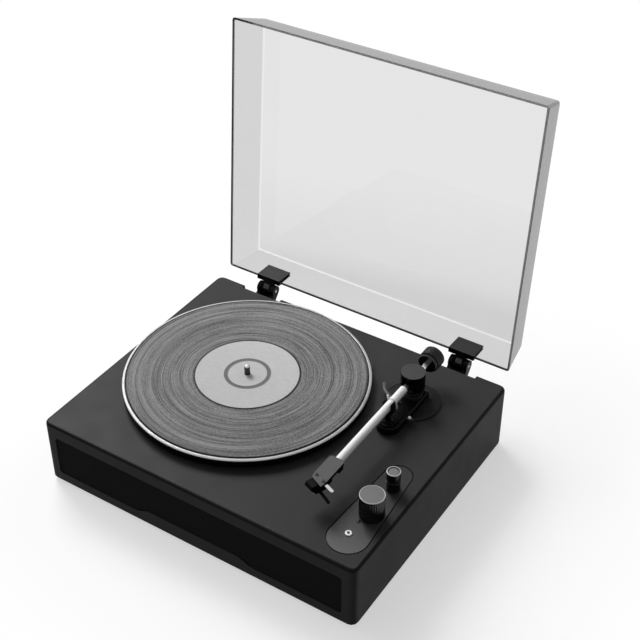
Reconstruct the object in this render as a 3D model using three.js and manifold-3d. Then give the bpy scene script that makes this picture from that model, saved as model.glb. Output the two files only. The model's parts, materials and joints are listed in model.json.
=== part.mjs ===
// A belt-drive record player with built-in speakers, a hinged clear dust cover,
// a straight tonearm and a control plate with two round ends. Millimetres, +Z up.
// The model is built round the middle of its cabinet, X to the right, Y to the back, and is
// moved at the end so that the middle of its bounding box's bottom is the origin.
import * as THREE from "three";
import { mergeVertices } from "three/addons/utils/BufferGeometryUtils.js";
import Module from "manifold-3d";

const wasm = await Module();
wasm.setup();

// Clearances
const fit_gap = 0.3;
const seam_gap = 0.6;
const overrun = 3;

// Cabinet
const plinth_width = 444;
const plinth_depth = 363;
const plinth_height = 88.6;
const plinth_corner_radius = 9;
const plinth_edge_radius = 3.6;
const wall_thickness = 12;
const deck_thickness = 12;
const bottom_board_thickness = 6;
const foot_height = 6;
const foot_radius = 13;
const foot_inset = 34;

// Front grille
const grille_side_border = 17;
const grille_bottom_border = 13;
const grille_height = 57;
const grille_corner_radius = 5;
const grille_recess = 4;
const grille_sink = 1;
const hump_height = 7.3;
const hump_width = 178;
const hump_flat_width = 124;

// Speakers
const speaker_inset = 60;
const speaker_hole_radius = 24;
const speaker_flange_radius = 28;
const speaker_depth = 26;
const speaker_magnet_radius = 17;
const speaker_sheet = 1.5;

// Platter, record and drive
const platter_x = -55.2;
const platter_y = 12;
const platter_radius = 155.4;
const platter_lift = 3.2;
const platter_top_height = 11.6;
const platter_plate = 2.3;
const platter_skirt = 3;
const rim_width = 4.4;
const rim_height = 14.5;
const rim_chamfer = 0.8;
const mat_thickness = 1.6;
const record_clearance = 0.4;
const record_thickness = 1.4;
const record_bead = 0.5;
const record_bead_width = 3;
const label_radius = 65;
const label_thickness = 0.3;
const label_ring_radius = 30;
const label_ring_inner_radius = 24;
const label_ring_step = 0.35;
const spindle_radius = 3.6;
const spindle_height = 14;
const spindle_depth = 31;
const bearing_radius = 8;
const bearing_flange_radius = 16;
const bearing_flange_thickness = 2.2;
const drive_ring_radius = 92;
const drive_ring_wall = 3;
const motor_distance = 118;
const motor_bearing_angle = 135;
const pulley_radius = 6.5;
const pulley_flange = 1.4;
const motor_shaft_radius = 1.5;
const motor_radius = 16;
const motor_height = 24;
const belt_thickness = 0.8;
const belt_width = 4.4;

// Control plate
const panel_front_x = 188;
const panel_front_y = -141.3;
const panel_front_radius = 24.2;
const panel_back_x = 186.4;
const panel_back_y = -29;
const panel_back_radius = 16.4;
const panel_thickness = 2;
const panel_ledge = 3.5;
const volume_y = -98.5;
const volume_x = 192.4;
const volume_radius = 14.9;
const volume_height = 32;
const volume_cap_chamfer = 0.6;
const volume_cap_thickness = 3;
const volume_flute_depth = 0.5;
const selector_x = 191.7;
const selector_y = -50.3;
const selector_radius = 8.4;
const selector_height = 27.5;
const selector_ring = 2.2;
const selector_dish = 0.8;
const selector_groove = 0.4;
const knob_clearance = 0.8;
const control_shaft_radius = 3;
const control_body_radius = 8.5;
const control_body_height = 10;
const jack_x = 185.6;
const jack_y = -136.5;
const jack_radius = 4.2;
const jack_bore_radius = 1.9;
const jack_height = 1.6;
const jack_depth = 12;
const led_x = 185.7;
const led_y = -115.4;
const led_radius = 2.1;
const led_height = 1.2;
const led_depth = 6;

// Tonearm base, board and rest
const pivot_beside_platter = 35.1;
const pivot_y = 92.2;
const pivot_height = 36.1;
const arm_base_radius = 36.7;
const arm_base_thickness = 3;
const arm_base_bevel = 1;
const arm_board_width = 30;
const arm_board_front = 57;
const arm_board_back = 16;
const arm_board_height = 11.5;
const arm_board_edge = 1.5;
const pillar_radius = 6;
const pillar_sleeve_wall = 4;
const pillar_depth = 16;
const rest_distance = 58.4;
const rest_boss_radius = 11.9;
const rest_boss_height = 1.8;
const rest_inner_boss_radius = 7.3;
const rest_post_radius = 3.6;
const rest_width = 8;
const rest_prong_rise = 8;
const rest_prong_thickness = 3;
const rest_shelf = 5;
const rest_shelf_thickness = 4;

// Tonearm
const arm_yaw = 0.7;
const arm_droop = 1.22;
const housing_radius = 15.2;
const housing_height = 23.6;
const housing_above_pivot = 12.1;
const housing_wall = 2.4;
const housing_slot_width = 14;
const housing_slot_rise = 7.6;
const pivot_block_width = 11;
const pivot_block_height = 9;
const pivot_pin_radius = 1.6;
const neck_radius = 3.2;
const neck_collar_radius = 4.2;
const tube_radius = 5.1;
const tube_wall = 0.8;
const tube_start = 21;
const tube_end = 176;
const headshell_socket = 8;
const headshell_length = 48;
const headshell_width = 19.6;
const headshell_top = 5.6;
const headshell_plate = 1.6;
const headshell_wall = 1.5;
const headshell_skirt = 4.4;
const headshell_shoulder = 2.6;
const headshell_left_setback = 14.6;
const headshell_right_setback = 9.7;
const cartridge_turn = 22;
const cartridge_setback = 11.5;
const cartridge_width = 16.5;
const cartridge_length = 27;
const cartridge_height = 13.5;
const cartridge_lead = 15;
const stylus_drop = 16.1;
const stylus_setback = 4;
const screw_spacing = 12.7;
const screw_head_radius = 1.9;
const screw_radius = 1.1;
const screw_head_height = 1.3;
const finger_length = 13.5;
const finger_width = 4.2;
const finger_thickness = 1.4;
const lever_blade_length = 24;
const lever_blade_height = 4;
const lever_blade_drop = 3;
const lever_blade_thickness = 2.4;
const lever_blade_forward = 6.5;
const tail_radius = 3.4;
const tail_length = 62;
const weight_radius = 14;
const weight_front = 37.8;
const weight_length = 15.8;
const weight_edge = 1.2;
const weight_dial_length = 4;
const weight_dial_radius = 13;

// Cueing lift
const lift_radius = 34.8;
const lift_bar_width = 3.6;
const lift_bar_thickness = 2.5;
const lift_bar_top = 27;
const lift_start_angle = -6;
const lift_end_angle = 68;
const lift_post_angle = 31;
const lift_post_radius = 2;
const lift_post_drop = 20;
const lever_pivot_y = -38;
const lever_pivot_height = 6.8;
const lever_axle_radius = 2.4;
const lever_reach = 8.4;
const lever_thickness = 2.6;
const lever_rise = 12;
const lever_arm_radius = 1.5;
const lever_ball_radius = 2.3;

// Dust cover and hinges
const cover_side_border = 6.6;
const cover_end_border = 1.4;
const cover_height = 55.4;
const cover_thickness = 2.8;
const cover_side_taper = 8.8;
const cover_front_taper = 14.5;
const cover_rear_taper = 2.8;
const cover_corner_radius = 4;
const cover_top_radius = 2.4;
const cover_lift = 1.5;
const cover_open_angle = 94.8;
const hinge_inset = 73;
const hinge_pin_overhang = 10.8;
const hinge_pin_drop = 1.2;
const hinge_pin_radius = 2;
const hinge_ear_radius = 7.9;
const hinge_ear_thickness = 5.7;
const hinge_ear_gap = 15.6;
const hinge_web_thickness = 3;
const hinge_web_clearance = 1;
const hinge_plate_height = 24;
const hinge_plate_width = 50;
const hinge_plate_thickness = 3.6;
const hinge_plate_drop = 12;
const hinge_notch_width = 62;
const hinge_notch_depth = 7.5;
const hinge_notch_height = 42;
const clip_width = 36.2;
const clip_height = 25;
const clip_wall = 1.6;
const clip_inner_wall = 2.2;
const clip_web = 2.6;
const barrel_radius = 6;

// Back panel
const back_panel_width = 112;
const back_panel_height = 40;
const back_panel_inset = 112;
const back_panel_thickness = 2;
const back_panel_lap = 6;
const socket_spacing = 20;
const socket_radius = 4.2;
const socket_length = 8;
const socket_nut_radius = 6;
const inlet_offset = 34;
const inlet_radius = 5.5;
const inlet_bore_radius = 2.8;
const inlet_depth = 9;

// Amplifier board
const amplifier_inset = 112;
const amplifier_y = -70;
const amplifier_width = 96;
const amplifier_depth = 58;
const amplifier_thickness = 1.6;
const amplifier_spacer_height = 6;
const amplifier_spacer_radius = 3;
const heat_sink_width = 40;
const heat_sink_height = 22;
const heat_sink_thickness = 3;
const capacitor_radius = 6;
const capacitor_height = 16;

// Steps round the curves
const large_round_steps = 44;
const medium_round_steps = 28;
const round_steps = 18;
const plain_round_steps = 13;
const small_round_steps = 10;
const corner_steps = 3;
const arc_steps = 10;
const bend_steps = 6;
const belt_large_steps = 36;
const belt_small_steps = 8;
const flute_count = 26;

// Levels and places that several pieces share
const deck_top = foot_height + plinth_height;
const plinth_bottom = foot_height;
const front_face = -plinth_depth / 2;
const back_face = plinth_depth / 2;
const cavity_top = deck_top - deck_thickness;
const mat_top = deck_top + platter_top_height + mat_thickness;
const record_top = mat_top + record_thickness;
const record_radius = platter_radius - rim_width - record_clearance;
const pivot_x = platter_x + platter_radius + pivot_beside_platter;
const grille_width = plinth_width - 2 * grille_side_border;
const speaker_spacing = grille_width - 2 * speaker_inset;
const amplifier_x = plinth_width / 2 - amplifier_inset;
const back_panel_x = back_panel_inset - plinth_width / 2;
const headshell_start = tube_end - headshell_socket;
const headshell_nose = headshell_start + headshell_length;
const headshell_left_end = headshell_nose - headshell_left_setback;
const headshell_right_end = headshell_nose - headshell_right_setback;
const cartridge_distance = headshell_nose - cartridge_setback;
const cover_width = plinth_width - 2 * cover_side_border;
const cover_depth = plinth_depth - 2 * cover_end_border;
const cover_rear_edge = back_face - cover_end_border;
const hinge_spacing = plinth_width - 2 * hinge_inset;
const hinge_pin_y = back_face + hinge_pin_overhang;
const hinge_pin_z = deck_top - hinge_pin_drop;
const radians = THREE.MathUtils.degToRad;

// Finishes
const finish = (color, roughness, metalness = 0) =>
  new THREE.MeshStandardMaterial({ color, roughness, metalness });
const black_vinyl = () => finish(0x2b2b2d, 0.6);
const black_plastic = () => finish(0x1c1c1e, 0.45);
const gloss_black = () => finish(0x151517, 0.15);
const rubber = () => finish(0x161616, 0.85);
const cloth = () => finish(0x18181a, 0.95);
const grey_plate = () => finish(0x5c5c60, 0.4, 0.6);
const bright_metal = () => finish(0xd8d8da, 0.22, 1);
const satin_metal = () => finish(0xb9b9bd, 0.4, 1);
const white_tube = () => finish(0xe9e9ea, 0.25, 0.3);
const vinyl_record = () => finish(0x2f2f31, 0.3);
const label_paper = () => finish(0xc9c9cb, 0.55);
const clear_acrylic = () => {
  const acrylic = finish(0xdfe3e6, 0.08);
  acrylic.transparent = true;
  acrylic.opacity = 0.3;
  return acrylic;
};
const board_green = () => finish(0x2c5a3c, 0.6);

// Merges shared corners and drops faces without area, so that the surface is closed.
function closed(geometry) {
  const bare = geometry.clone();
  bare.deleteAttribute("normal");
  bare.deleteAttribute("uv");
  const merged = mergeVertices(bare);
  const index = merged.index.array;
  const kept = [];
  for (let i = 0; i < index.length; i += 3) {
    const [a, b, c] = [index[i], index[i + 1], index[i + 2]];
    if (a !== b && b !== c && c !== a) kept.push(a, b, c);
  }
  merged.setIndex(kept);
  return merged;
}

// A solid to cut and join, from a closed geometry.
function solid(geometry) {
  const body = closed(geometry);
  return new wasm.Manifold(new wasm.Mesh({
    numProp: 3,
    vertProperties: new Float32Array(body.attributes.position.array),
    triVerts: new Uint32Array(body.index.array),
  }));
}

// The surface of a cut or joined solid, as a geometry.
function surface(body) {
  const data = body.getMesh();
  const geometry = new THREE.BufferGeometry();
  geometry.setAttribute("position", new THREE.BufferAttribute(data.vertProperties, 3));
  geometry.setIndex(new THREE.BufferAttribute(data.triVerts, 1));
  geometry.computeVertexNormals();
  return geometry;
}

function piece(name, body, material) {
  const geometry = body instanceof THREE.BufferGeometry ? closed(body) : surface(body);
  const mesh = new THREE.Mesh(geometry, material);
  mesh.name = name;
  return mesh;
}

function cut(body, ...tools) {
  return tools.reduce((left, tool) => left.subtract(tool), body);
}

function join(body, ...others) {
  return others.reduce((sum, other) => sum.add(other), body);
}

// Corner points of a rectangle with round corners.
function roundedPoints(left, right, front, back, radius) {
  const corners = [
    [right - radius, back - radius, 0],
    [left + radius, back - radius, 1],
    [left + radius, front + radius, 2],
    [right - radius, front + radius, 3],
  ];
  const points = [];
  for (const [x, y, quarter] of corners) {
    for (let i = 0; i <= corner_steps; i++) {
      const turn = (quarter + i / corner_steps) * Math.PI / 2;
      points.push(new THREE.Vector2(x + radius * Math.cos(turn), y + radius * Math.sin(turn)));
    }
  }
  return points;
}

function roundedShape(left, right, front, back, radius) {
  return new THREE.Shape(roundedPoints(left, right, front, back, radius));
}

// A closed body through equal rings of points, each ring at its own height.
function stack(rings) {
  const count = rings[0].points.length;
  const position = [];
  for (const ring of rings) {
    for (const point of ring.points) position.push(point.x, point.y, ring.z);
  }
  const faces = [];
  const last = (rings.length - 1) * count;
  for (const [a, b, c] of THREE.ShapeUtils.triangulateShape(rings[0].points, [])) faces.push(c, b, a);
  for (const [a, b, c] of THREE.ShapeUtils.triangulateShape(rings.at(-1).points, [])) {
    faces.push(last + a, last + b, last + c);
  }
  for (let ring = 0; ring < rings.length - 1; ring++) {
    for (let i = 0; i < count; i++) {
      const a = ring * count + i;
      const b = ring * count + (i + 1) % count;
      faces.push(a, b, b + count, a, b + count, a + count);
    }
  }
  const geometry = new THREE.BufferGeometry();
  geometry.setAttribute("position", new THREE.Float32BufferAttribute(position, 3));
  geometry.setIndex(faces);
  return geometry;
}

// A flat shape given thickness upwards from a height, with an optional rounded edge.
function extrudeUp(shape, bottom, height, edge = 0, curveSegments = round_steps / 2) {
  const geometry = new THREE.ExtrudeGeometry(shape, {
    depth: height - 2 * edge,
    bevelEnabled: edge > 0,
    bevelThickness: edge,
    bevelSize: edge,
    bevelOffset: -edge,
    bevelSegments: 1,
    curveSegments,
  });
  return geometry.translate(0, 0, bottom + edge);
}

// A shape drawn in X and Z, given thickness towards the back.
function extrudeBack(shape, front, depth, curveSegments = round_steps / 2) {
  const geometry = new THREE.ExtrudeGeometry(shape, { depth, bevelEnabled: false, curveSegments });
  return geometry.rotateX(Math.PI / 2).translate(0, front + depth, 0);
}

// A shape drawn in Y and Z, given thickness to the right.
function extrudeRight(shape, left, width, curveSegments = round_steps / 2) {
  const geometry = new THREE.ExtrudeGeometry(shape, { depth: width, bevelEnabled: false, curveSegments });
  const turn = new THREE.Matrix4().makeBasis(
    new THREE.Vector3(0, 1, 0), new THREE.Vector3(0, 0, 1), new THREE.Vector3(1, 0, 0));
  return geometry.applyMatrix4(turn).translate(left, 0, 0);
}

// A profile of [radius, height] points turned about the vertical axis.
function turned(profile, steps = round_steps) {
  const points = profile.map(([radius, height]) => new THREE.Vector2(radius, height));
  return new THREE.LatheGeometry(points, steps).rotateX(Math.PI / 2);
}

// A ring-shaped profile, closed on itself.
function turnedRing(profile, steps = round_steps) {
  return turned([...profile, profile[0]], steps);
}

function rod(radius, bottom, top, steps = small_round_steps) {
  return turned([[0, bottom], [radius, bottom], [radius, top], [0, top]], steps);
}

function block(left, right, front, back, bottom, top) {
  const box = new THREE.BoxGeometry(right - left, back - front, top - bottom);
  return box.translate((left + right) / 2, (front + back) / 2, (bottom + top) / 2);
}

// The control plate's outline, moved in by an inset: two round ends joined by their tangents.
function plateShape(inset) {
  const front = panel_front_radius - inset;
  const back = panel_back_radius - inset;
  const reach_x = panel_back_x - panel_front_x;
  const reach_y = panel_back_y - panel_front_y;
  const lean = Math.atan2(-reach_x, reach_y);
  const taper = Math.asin((front - back) / Math.hypot(reach_x, reach_y));
  const right = lean + taper;
  const left = Math.PI + lean - taper;
  const shape = new THREE.Shape();
  shape.absarc(panel_front_x, panel_front_y, front, left, 2 * Math.PI + right, false);
  shape.absarc(panel_back_x, panel_back_y, back, right, left, false);
  return shape;
}

// The grille's outline, with the low hump in the middle of its lower edge.
function grilleShape(inset) {
  const half = grille_width / 2 - inset;
  const low = plinth_bottom + grille_bottom_border + inset;
  const high = plinth_bottom + grille_bottom_border + grille_height - inset;
  const foot = hump_width / 2 + inset;
  const crown = hump_flat_width / 2 + inset;
  const bend = (foot + crown) / 2;
  const corner = grille_corner_radius - inset;
  const shape = new THREE.Shape();
  shape.moveTo(-foot, low);
  shape.bezierCurveTo(-bend, low, -bend, low + hump_height, -crown, low + hump_height);
  shape.lineTo(crown, low + hump_height);
  shape.bezierCurveTo(bend, low + hump_height, bend, low, foot, low);
  shape.absarc(half - corner, low + corner, corner, -Math.PI / 2, 0, false);
  shape.absarc(half - corner, high - corner, corner, 0, Math.PI / 2, false);
  shape.absarc(corner - half, high - corner, corner, Math.PI / 2, Math.PI, false);
  shape.absarc(corner - half, low + corner, corner, Math.PI, 1.5 * Math.PI, false);
  return shape;
}

const speaker_z = plinth_bottom + grille_bottom_border + grille_height / 2;

function cabinetOutline(inset) {
  const x = plinth_width / 2 - inset;
  const y = plinth_depth / 2 - inset;
  return roundedPoints(-x, x, -y, y, Math.max(plinth_corner_radius - inset, plinth_edge_radius));
}

function cabinetShell() {
  const rings = [{ points: cabinetOutline(0), z: plinth_bottom }];
  for (let i = 0; i <= corner_steps; i++) {
    const turn = (i / corner_steps) * Math.PI / 2;
    rings.push({
      points: cabinetOutline(plinth_edge_radius * (1 - Math.cos(turn))),
      z: deck_top - plinth_edge_radius * (1 - Math.sin(turn)),
    });
  }
  const cavity = stack([
    { points: cabinetOutline(wall_thickness), z: plinth_bottom - overrun },
    { points: cabinetOutline(wall_thickness), z: cavity_top },
  ]);
  return cut(solid(stack(rings)), solid(cavity));
}

function deckHole(x, y, radius) {
  return solid(rod(radius, cavity_top - overrun, deck_top + overrun, round_steps).translate(x, y, 0));
}

function speakerHole(side) {
  const hole = rod(speaker_hole_radius, -overrun, wall_thickness + overrun, round_steps);
  return solid(hole.rotateX(-Math.PI / 2)
    .translate(side * speaker_spacing / 2, front_face, speaker_z));
}

function hingeNotch(side) {
  const x = side * hinge_spacing / 2;
  const half = hinge_notch_width / 2;
  return solid(block(x - half, x + half, back_face - hinge_notch_depth, back_face + overrun,
    deck_top - hinge_notch_height, deck_top + overrun));
}

function controlCutout() {
  const recess = extrudeUp(plateShape(-seam_gap), deck_top - panel_thickness - fit_gap,
    panel_thickness + fit_gap + overrun);
  const through = extrudeUp(plateShape(panel_ledge), cavity_top - overrun, deck_thickness + 2 * overrun);
  return join(solid(recess), solid(through));
}

function backOpening() {
  const low = back_panel_z - back_panel_height / 2;
  const high = back_panel_z + back_panel_height / 2;
  const left = back_panel_x - back_panel_width / 2;
  const right = back_panel_x + back_panel_width / 2;
  const recess = block(left - fit_gap, right + fit_gap, back_face - back_panel_thickness - fit_gap,
    back_face + overrun, low - fit_gap, high + fit_gap);
  const through = block(left + back_panel_lap, right - back_panel_lap,
    back_face - wall_thickness - overrun, back_face + overrun,
    low + back_panel_lap, high - back_panel_lap);
  return join(solid(recess), solid(through));
}

const back_panel_z = plinth_bottom + bottom_board_thickness + back_panel_lap + back_panel_height / 2;
const motor_turn = radians(motor_bearing_angle);
const motor_x = platter_x + motor_distance * Math.cos(motor_turn);
const motor_y = platter_y + motor_distance * Math.sin(motor_turn);
const motor_hole_radius = pulley_radius + pulley_flange + overrun;

function plinthCabinet() {
  const grille = solid(extrudeBack(grilleShape(0), front_face - overrun, grille_recess + overrun,
    bend_steps));
  const body = cut(cabinetShell(), grille, speakerHole(-1), speakerHole(1),
    hingeNotch(-1), hingeNotch(1), controlCutout(), backOpening(),
    deckHole(platter_x, platter_y, bearing_radius + fit_gap),
    deckHole(motor_x, motor_y, motor_hole_radius),
    deckHole(pivot_x, pivot_y, pillar_radius + pillar_sleeve_wall + fit_gap));
  return piece("plinth_cabinet", body, black_vinyl());
}

function bottomBoard() {
  const points = cabinetOutline(wall_thickness + fit_gap);
  const board = stack([
    { points, z: plinth_bottom },
    { points, z: plinth_bottom + bottom_board_thickness },
  ]);
  return piece("bottom_board", board, black_plastic());
}

// A moulded foot: a short cone with a hollow underside edge.
function foot(name, side, end) {
  const x = side * (plinth_width / 2 - foot_inset);
  const y = end * (plinth_depth / 2 - foot_inset);
  const rim_share = 0.86;
  const cup_share = 0.55;
  const cup_depth_share = 0.25;
  const profile = [
    [0, foot_height * cup_depth_share],
    [foot_radius * cup_share, foot_height * cup_depth_share],
    [foot_radius * cup_share, 0],
    [foot_radius * rim_share, 0],
    [foot_radius, foot_height * cup_depth_share],
    [foot_radius, foot_height],
    [0, foot_height],
  ];
  const mesh = piece(name, turned(profile, plain_round_steps), rubber());
  mesh.position.set(x, y, 0);
  return mesh;
}

function grilleCloth() {
  const panel = extrudeBack(grilleShape(fit_gap), front_face + grille_sink,
    grille_recess - grille_sink - fit_gap, bend_steps);
  return piece("grille_cloth", panel, cloth());
}

// The basket and magnet of a speaker, open towards the front, turned about its axis.
function speakerFrame(name, side) {
  const plate = speaker_sheet;
  const throat_share = 0.55;
  const magnet_share = 0.62;
  const throat = speaker_depth * throat_share;
  const profile = [
    [0, -speaker_depth],
    [speaker_magnet_radius, -speaker_depth],
    [speaker_magnet_radius, -speaker_depth * magnet_share],
    [speaker_hole_radius, -plate],
    [speaker_flange_radius, -plate],
    [speaker_flange_radius, 0],
    [speaker_hole_radius - plate, 0],
    [speaker_magnet_radius - 2 * plate, -throat],
    [0, -throat],
  ];
  return speakerPiece(name, side, profile, black_plastic());
}

function speakerCone(name, side) {
  const gap = fit_gap;
  const plate = speaker_sheet;
  const cap_share = 0.35;
  const deep_share = 0.42;
  const rise_share = 0.1;
  const outer = speaker_hole_radius - 2 * plate;
  const cap = speaker_hole_radius * cap_share;
  const deep = speaker_depth * deep_share;
  const profile = [
    [0, -deep],
    [cap, -deep],
    [outer, -plate - gap],
    [outer, -gap],
    [outer - plate, -gap],
    [cap, -deep + plate],
    [cap / 2, -deep + plate + speaker_depth * rise_share],
    [0, -deep + plate + speaker_depth * rise_share],
  ];
  return speakerPiece(name, side, profile, cloth());
}

function speakerPiece(name, side, profile, material) {
  const mesh = piece(name, turned(profile, plain_round_steps), material);
  mesh.rotation.x = Math.PI / 2;
  mesh.position.set(side * speaker_spacing / 2, front_face + wall_thickness + fit_gap, speaker_z);
  return mesh;
}

function amplifierBoard() {
  const board_bottom = plinth_bottom + bottom_board_thickness + amplifier_spacer_height;
  const board_top = board_bottom + amplifier_thickness;
  const half_x = amplifier_width / 2;
  const half_y = amplifier_depth / 2;
  const spacer_inset = 2 * amplifier_spacer_radius;
  const parts = [];
  for (const side of [-1, 1]) {
    for (const end of [-1, 1]) {
      const spacer = rod(amplifier_spacer_radius, board_bottom - amplifier_spacer_height + fit_gap,
        board_top, small_round_steps);
      parts.push(solid(spacer.translate(side * (half_x - spacer_inset), end * (half_y - spacer_inset), 0)));
    }
    const capacitor = rod(capacitor_radius, board_bottom, board_top + capacitor_height);
    parts.push(solid(capacitor.translate(side * 2 * capacitor_radius, -half_y / 2, 0)));
  }
  parts.push(solid(block(-heat_sink_width / 2, heat_sink_width / 2, half_y / 2,
    half_y / 2 + heat_sink_thickness, board_bottom, board_top + heat_sink_height)));
  const board = solid(block(-half_x, half_x, -half_y, half_y, board_bottom, board_top));
  const mesh = piece("amplifier_board", join(board, ...parts), board_green());
  mesh.position.set(amplifier_x, amplifier_y, 0);
  return mesh;
}

// The motor hangs under the deck on its flange.
function driveMotor() {
  const flange_top = cavity_top - fit_gap;
  const flange_bottom = flange_top - speaker_sheet;
  const half = motor_radius + 2 * overrun;
  const flange = extrudeUp(roundedShape(-half, half, -motor_radius, motor_radius, overrun),
    flange_bottom, speaker_sheet);
  const can = rod(motor_radius - overrun, flange_bottom - motor_height, flange_top, round_steps);
  const bore = rod(motor_shaft_radius + fit_gap, flange_bottom - motor_height / 2, deck_top);
  const mesh = piece("drive_motor", cut(join(solid(flange), solid(can)), solid(bore)), satin_metal());
  mesh.position.set(motor_x, motor_y, 0);
  return mesh;
}

function motorPulley() {
  const bottom = deck_top + platter_lift;
  const top = deck_top + platter_top_height - platter_plate - fit_gap;
  const low = bottom + (top - bottom - belt_width) / 2;
  const high = top - (top - bottom - belt_width) / 2;
  const shaft_end = cavity_top - speaker_sheet - motor_height / 2 + overrun;
  const profile = [
    [0, shaft_end],
    [motor_shaft_radius, shaft_end],
    [motor_shaft_radius, bottom],
    [pulley_radius + pulley_flange, bottom],
    [pulley_radius, low - fit_gap],
    [pulley_radius, high + fit_gap],
    [pulley_radius + pulley_flange, top],
    [0, top],
  ];
  const mesh = piece("motor_pulley", turned(profile, round_steps), satin_metal());
  mesh.position.set(motor_x, motor_y, 0);
  return mesh;
}

function arcPoints(x, radius, from, to, steps) {
  const points = [];
  for (let i = 0; i <= steps; i++) {
    const turn = from + (to - from) * i / steps;
    points.push(new THREE.Vector2(x + radius * Math.cos(turn), radius * Math.sin(turn)));
  }
  return points;
}

// The flat belt: the outline round the drive ring and the pulley, drawn with the motor along +X.
function beltOutline(extra) {
  const lean = Math.acos((drive_ring_radius - pulley_radius) / motor_distance);
  return [
    ...arcPoints(0, drive_ring_radius + extra, lean, 2 * Math.PI - lean, belt_large_steps),
    ...arcPoints(motor_distance, pulley_radius + extra, -lean, lean, belt_small_steps),
  ];
}

function driveBelt() {
  const outline = new THREE.Shape(beltOutline(fit_gap + belt_thickness));
  outline.holes.push(new THREE.Path(beltOutline(fit_gap)));
  const bottom = deck_top + platter_lift
    + (platter_top_height - platter_plate - fit_gap - platter_lift - belt_width) / 2;
  const mesh = piece("drive_belt", extrudeUp(outline, bottom, belt_width), rubber());
  mesh.rotation.z = motor_turn;
  mesh.position.set(platter_x, platter_y, 0);
  return mesh;
}

function spindleBearing() {
  const flange_top = deck_top + fit_gap + bearing_flange_thickness;
  const bore = spindle_radius + fit_gap;
  const floor = deck_top - spindle_depth - fit_gap;
  const profile = [
    [0, floor - bearing_flange_thickness],
    [bearing_radius, floor - bearing_flange_thickness],
    [bearing_radius, deck_top + fit_gap],
    [bearing_flange_radius, deck_top + fit_gap],
    [bearing_flange_radius, flange_top],
    [bore, flange_top],
    [bore, floor],
    [0, floor],
  ];
  const mesh = piece("spindle_bearing", turned(profile), satin_metal());
  mesh.position.set(platter_x, platter_y, 0);
  return mesh;
}

// The platter: a flat plate with a skirt, a drive ring for the belt and a hub on the spindle.
function platterBody() {
  const top = deck_top + platter_top_height;
  const under = top - platter_plate;
  const skirt_foot = deck_top + platter_lift;
  const hub_foot = deck_top + 2 * fit_gap + bearing_flange_thickness;
  const hub_radius = 2 * bearing_radius;
  const bore = spindle_radius + fit_gap;
  const profile = [
    [bore, hub_foot],
    [hub_radius, hub_foot],
    [hub_radius, under],
    [drive_ring_radius - drive_ring_wall, under],
    [drive_ring_radius - drive_ring_wall, skirt_foot],
    [drive_ring_radius, skirt_foot],
    [drive_ring_radius, under],
    [platter_radius - platter_skirt, under],
    [platter_radius - platter_skirt, skirt_foot],
    [platter_radius - rim_chamfer, skirt_foot],
    [platter_radius, skirt_foot + 2 * rim_chamfer],
    [platter_radius, top],
    [bore, top],
  ];
  return piece("platter", turnedRing(profile, large_round_steps), black_plastic());
}

function platterRim() {
  const inner = platter_radius - rim_width;
  const low = deck_top + platter_top_height + fit_gap;
  const high = deck_top + rim_height;
  const profile = [
    [inner, low],
    [platter_radius, low],
    [platter_radius, high - rim_chamfer],
    [platter_radius - rim_chamfer, high],
    [inner + rim_chamfer, high],
    [inner, high - rim_chamfer],
  ];
  return piece("platter_rim", turnedRing(profile, large_round_steps), bright_metal());
}

function spindle() {
  const nose_share = 0.45;
  const bottom = deck_top - spindle_depth;
  const top = record_top + label_thickness + spindle_height;
  const profile = [
    [0, bottom],
    [spindle_radius, bottom],
    [spindle_radius, top - spindle_radius],
    [spindle_radius * Math.cos(Math.PI / 6), top - spindle_radius * nose_share],
    [spindle_radius * nose_share, top - spindle_radius * (1 - Math.cos(Math.PI / 6))],
    [0, top],
  ];
  return piece("spindle", turned(profile, small_round_steps), bright_metal());
}

function slipMat() {
  const bore = spindle_radius + fit_gap;
  const outer = platter_radius - rim_width - seam_gap;
  const low = deck_top + platter_top_height + fit_gap;
  return piece("slip_mat", turnedRing([[bore, low], [outer, low], [outer, mat_top], [bore, mat_top]],
    large_round_steps), cloth());
}

// The record: a thin disc with a raised bead at its edge and a raised centre under the label.
function record() {
  const bore = spindle_radius + fit_gap;
  const low = mat_top + fit_gap;
  const groove = record_top;
  const bead = record_top + record_bead;
  const profile = [
    [bore, low],
    [record_radius - record_bead, low],
    [record_radius, low + record_bead],
    [record_radius - record_bead, bead],
    [record_radius - record_bead_width, bead],
    [record_radius - record_bead_width - record_bead, groove],
    [label_radius + record_bead_width, groove],
    [label_radius + record_bead_width - record_bead, groove + record_bead / 2],
    [bore, groove + record_bead / 2],
  ];
  return piece("record", turnedRing(profile, large_round_steps), vinyl_record());
}

function recordLabel() {
  const bore = spindle_radius + fit_gap;
  const low = record_top + record_bead / 2 + fit_gap / 2;
  const high = low + label_thickness;
  const profile = [
    [bore, low],
    [label_radius, low],
    [label_radius, high],
    [label_ring_radius, high],
    [label_ring_radius - label_ring_step, high + label_ring_step],
    [label_ring_inner_radius + label_ring_step, high + label_ring_step],
    [label_ring_inner_radius, high],
    [bore, high],
  ];
  return piece("record_label", turnedRing(profile, medium_round_steps), label_paper());
}

function platterGroup() {
  const group = new THREE.Group();
  group.position.set(platter_x, platter_y, 0);
  group.add(platterBody(), platterRim(), spindle(), slipMat(), record(), recordLabel());
  return group;
}

function controlPanel() {
  const plate = extrudeUp(plateShape(0), deck_top - panel_thickness, panel_thickness);
  const hole = (x, y, radius) =>
    solid(rod(radius, deck_top - 2 * panel_thickness, deck_top + overrun).translate(x, y, 0));
  const bush = control_shaft_radius + 3 * fit_gap + speaker_sheet;
  const body = cut(solid(plate), hole(volume_x, volume_y, bush), hole(selector_x, selector_y, bush),
    hole(jack_x, jack_y, jack_radius - speaker_sheet + fit_gap), hole(led_x, led_y, led_radius + fit_gap));
  return piece("control_panel", body, grey_plate());
}

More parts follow.
